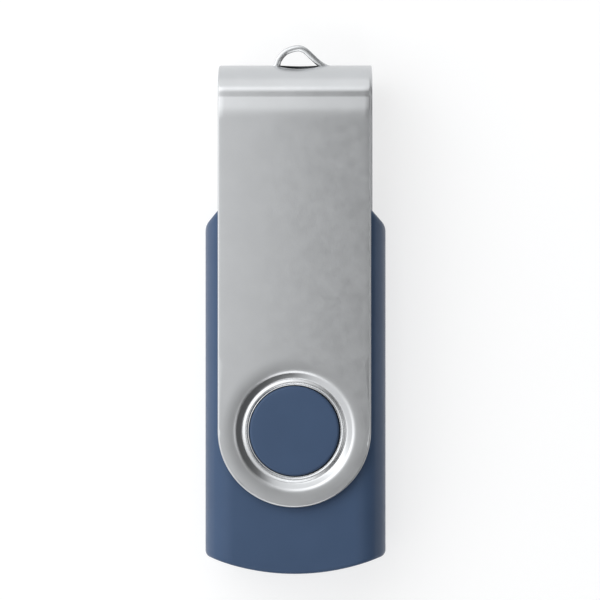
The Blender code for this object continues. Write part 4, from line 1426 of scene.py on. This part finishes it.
class USBDRIVE_OT_cover(bpy.types.Operator):
    """Build the swivel cover with its seats, bend, eye and key-ring loop"""

    bl_idname = "usbdrive.cover"
    bl_label = "Swivel Cover"

    def execute(self, context):
        values = context.scene.usb_drive.cover
        face = satin_stainless(tuple(values.steel), values.roughness)
        edge = sheared_stainless(tuple(values.steel))
        lip_shade_paint = painted_shade_steel()
        cover = cover_surface("cover")
        mirror = cover.modifiers.new("other_arm", "MIRROR")
        mirror.use_axis = (False, False, True)
        mirror.merge_threshold = MERGE
        sheet = cover.modifiers.new("sheet", "SOLIDIFY")
        sheet.thickness = values.sheet
        sheet.offset = -1
        sheet.use_even_offset = True
        sheet.material_offset_rim = 1
        for material in (face, edge, lip_shade_paint):
            cover.data.materials.append(material)
        apply_modifiers(cover)
        press_seats(cover)
        round_rims(cover, values.rim, 60, lambda at: at.xy.length > SEAT_RIM)
        combine(cover, eye_cutter("eye"), "DIFFERENCE")
        round_rims(cover, EYE_RIM, 60, lambda at: at.y > ROLL_START and abs(at.x) < EYE_RIM_REACH)
        # Painted shade: the lip's faces take the dark material
        mark_painted_shade_lip(cover, 2)
        loop = strip_row("loop", loop_path(), LOOP_WIDTH, LOOP_THICKNESS, edge, edge=LOOP_EDGE)
        stand_up = Matrix.Rotation(-math.pi / 2, 4, "X")
        loop.data.transform(Matrix.Translation((0, 0, LOOP_CENTRE_Z)) @ stand_up)
        combine(cover, loop, "UNION")
        bow(cover)
        finish_piece(cover, [face, edge, lip_shade_paint], "cover", "satin_steel", ["swivel_cover"], 40)
        return {"FINISHED"}


class USBDRIVE_OT_plug(bpy.types.Operator):
    """Build the plug's shell, its insulator and its four contacts"""

    bl_idname = "usbdrive.plug"
    bl_label = "Plug"

    def execute(self, context):
        values = context.scene.usb_drive.plug
        nickel = nickel_plate(tuple(values.nickel))
        finish_piece(plug_shell(), [nickel], "housing", "nickel_plate", ["plug_shell"])
        tongue = moulded_pbt(tuple(values.tongue))
        finish_piece(plug_tongue(), [tongue], "housing", "white_nylon", ["plug_tongue"])
        gold = gold_plate(tuple(values.gold))
        for node, (x, front) in CONTACTS.items():
            size = CONTACT_WIDTH, CONTACT_THICKNESS
            strip = strip_row(node + "_strip", contact_path(front), *size, gold, edge=0.04 * MM)
            strip.data.transform(Matrix.Translation((x, 0, 0)))
            finish_piece(strip, [gold], "housing", "gold_plate", [node])
        return {"FINISHED"}


class USBDRIVE_OT_board(bpy.types.Operator):
    """Build the circuit board with its pads and vias"""

    bl_idname = "usbdrive.board"
    bl_label = "Circuit Board"

    def execute(self, context):
        values = context.scene.usb_drive.board
        mask = solder_mask(tuple(values.mask), tuple(values.tracks))
        tin, laminate = tin_plate(), bare_laminate()
        pieces = [(board_slab("board"), None)]
        for place, size, rows, on_top in PACKAGES.values():
            for pads in lead_pads(size, rows, tin):
                pieces.append((on_board(pads, place, on_top), 2))
        tree = ring_pads_tree()
        for on_top, seed in ((True, 7), (False, 11)):
            values = {"Seed": seed, "Share Kept": 0.3, "Material": tin}
            vias = grown_from("vias", tree, via_points(), False, values)
            pieces.append((on_board(vias, (0, 0), on_top), 2))
        for place, size in (*CAPACITORS.values(), *RESISTORS.values(), FERRITE):
            for end in (-1, 1):
                y = end * size[1] * MM / 2
                half = size[0] * MM / 2
                low, high = sorted((y + end * 0.15 * MM, y - end * 0.4 * MM))
                pad = block("pad", (-half, low, 0.001 * MM), (half, high, PAD_HEIGHT), PAD_EDGE)
                pieces.append((on_board(pad, place, False), 2))
        for x, _ in CONTACTS.values():
            low = (x - 0.6 * MM, 18.0 * MM, BOARD_TOP)
            high = (x + 0.6 * MM, 19.8 * MM, BOARD_TOP + PAD_HEIGHT)
            pieces.append((block("pad", low, high, PAD_EDGE), 2))
        board = joined("board", pieces)
        finish_piece(board, [mask, laminate, tin], "housing", "green_board", ["circuit_board"])
        return {"FINISHED"}


class USBDRIVE_OT_parts(bpy.types.Operator):
    """Build the chips and the small parts on the board"""

    bl_idname = "usbdrive.parts"
    bl_label = "Board Parts"

    def execute(self, context):
        values = context.scene.usb_drive.parts
        mould, tin = mould_compound(tuple(values.mould)), tin_plate()
        tan = fired_ceramic("fired_capacitor_ceramic", tuple(values.ceramic), 0.5)
        white = fired_ceramic("fired_alumina", linear("#DAD8D0"), 0.5)
        grey = fired_ceramic("fired_ferrite", linear("#3A3A3C"), 0.55)
        for node, (place, size, rows, on_top) in PACKAGES.items():
            seat_part(package(size, rows, tin), place, on_top, [mould, tin], "black_epoxy", node)
        small = [(node, spec, tan, None, "ceramic_tan") for node, spec in CAPACITORS.items()]
        small += [(node, spec, white, mould, "black_epoxy") for node, spec in RESISTORS.items()]
        small.append(("power_ferrite", FERRITE, grey, None, "black_epoxy"))
        for node, (place, size), body, top, slot in small:
            piece, materials = capped_block(size, body, tin, top)
            seat_part(piece, place, False, materials, slot, node)
        can = nickel_plate(tuple(context.scene.usb_drive.plug.nickel))
        for node, (place, _), slot, piece, materials in (
            ("crystal_can", CRYSTAL, "nickel_plate", crystal_can(CRYSTAL[1]), [can]),
            ("indicator_led", LAMP, "led_resin", lamp(LAMP[1]), [clear_epoxy(), white, tin]),
        ):
            seat_part(piece, place, False, materials, slot, node)
        return {"FINISHED"}


class USBDRIVE_OT_stage(bpy.types.Operator):
    """Set up the pale floor, the soft lights and the camera"""

    bl_idname = "usbdrive.stage"
    bl_label = "Stage"

    def execute(self, context):
        values = context.scene.usb_drive.stage
        scene = context.scene
        scene.view_settings.view_transform = "Standard"
        edit = bmesh.new()
        bmesh.ops.create_grid(edit, x_segments=1, y_segments=1, size=1.2)
        floor = from_edit("floor", edit)
        floor.data.transform(Matrix.Translation((0, 0, -FLOOR_DROP)))
        # An opal acrylic table lit from below: even and shadowless
        paper, tree, shader = new_material("opal_acrylic_table", tuple(values.floor), 0.9)
        shader.inputs["Emission Color"].default_value = (1, 1, 1, 1)
        shader.inputs["Emission Strength"].default_value = FLOOR_GLOW
        mottle(tree, shader, object_noise(tree, 40 * MM), tuple(values.floor), 0.004)
        floor.data.materials.append(paper)
        world = bpy.data.worlds.new("soft_room")
        scene.world = world
        world.use_nodes = True
        tree = world.node_tree
        way = add_node(tree, "ShaderNodeTexCoord").outputs["Generated"]
        level = None
        for aim, far, near, low, high in SOFTBOXES:
            toward = add_node(tree, "ShaderNodeVectorMath", {0: way, 1: aim}, operation="DOT_PRODUCT")
            box = add_node(
                tree,
                "ShaderNodeMapRange",
                {
                    "Value": toward.outputs["Value"],
                    "From Min": far,
                    "From Max": near,
                    "To Min": low,
                    "To Max": high,
                },
                interpolation_type="SMOOTHSTEP",
            ).outputs["Result"]
            if level:
                box = add_node(tree, "ShaderNodeMath", {0: level, 1: box}, operation="ADD").outputs[0]
            level = box
        sky = tree.nodes["Background"]
        sky.inputs["Color"].default_value = (1, 1, 1, 1)
        tree.links.new(level, sky.inputs["Strength"])
        for name, place, aim, size, watts, seen in LIGHTS:
            lamp = bpy.data.lights.new(name, "AREA")
            lamp.shape = "SQUARE"
            lamp.size = size
            lamp.energy = watts
            light = bpy.data.objects.new(name, lamp)
            light.location = place
            light.rotation_euler = (Vector(aim) - Vector(place)).to_track_quat("-Z", "Y").to_euler()
            light.visible_camera = False
            light.visible_glossy = seen
            scene.collection.objects.link(light)
        lens = bpy.data.cameras.new("camera")
        camera = bpy.data.objects.new("camera", lens)
        scene.collection.objects.link(camera)
        scene.camera = camera
        target = AXIS + VIEW_CENTRE
        turn = values.camera_turn
        camera.location = target + Vector((math.sin(turn), 0, math.cos(turn))) * values.camera_distance
        camera.rotation_euler = (0, turn, 0)
        lens.sensor_width = SENSOR
        lens.lens = SENSOR * values.camera_distance / VIEW_WIDTH
        lens.clip_start = 0.05
        lens.clip_end = 10
        return {"FINISHED"}


class USBDRIVE_PT_panel(bpy.types.Panel):
    """Lists the drive's parts in the sidebar"""

    bl_idname = "USBDRIVE_PT_panel"
    bl_label = "USB Drive"
    bl_space_type = "VIEW_3D"
    bl_region_type = "UI"
    bl_category = "USB Drive"

    def draw(self, context):
        drive = context.scene.usb_drive
        for operator, group in BUILD_ORDER:
            box = self.layout.box()
            box.operator(operator.bl_idname)
            values = getattr(drive, group)
            for name in values.__annotations__:
                box.prop(values, name)


BUILD_ORDER = [
    (USBDRIVE_OT_housing, "housing"),
    (USBDRIVE_OT_cover, "cover"),
    (USBDRIVE_OT_plug, "plug"),
    (USBDRIVE_OT_board, "board"),
    (USBDRIVE_OT_parts, "parts"),
    (USBDRIVE_OT_stage, "stage"),
]
CLASSES = [
    HousingSettings,
    CoverSettings,
    PlugSettings,
    BoardSettings,
    PartsSettings,
    StageSettings,
    DriveSettings,
    *(operator for operator, group in BUILD_ORDER),
    USBDRIVE_PT_panel,
]


def register():
    for item in CLASSES:
        bpy.utils.register_class(item)
    bpy.types.Scene.usb_drive = bpy.props.PointerProperty(type=DriveSettings)


def unregister():
    del bpy.types.Scene.usb_drive
    for item in reversed(CLASSES):
        bpy.utils.unregister_class(item)


def main():
    register()
    for operator, _ in BUILD_ORDER:
        category, name = operator.bl_idname.split(".")
        getattr(getattr(bpy.ops, category), name)()


if __name__ == "__main__":
    main()
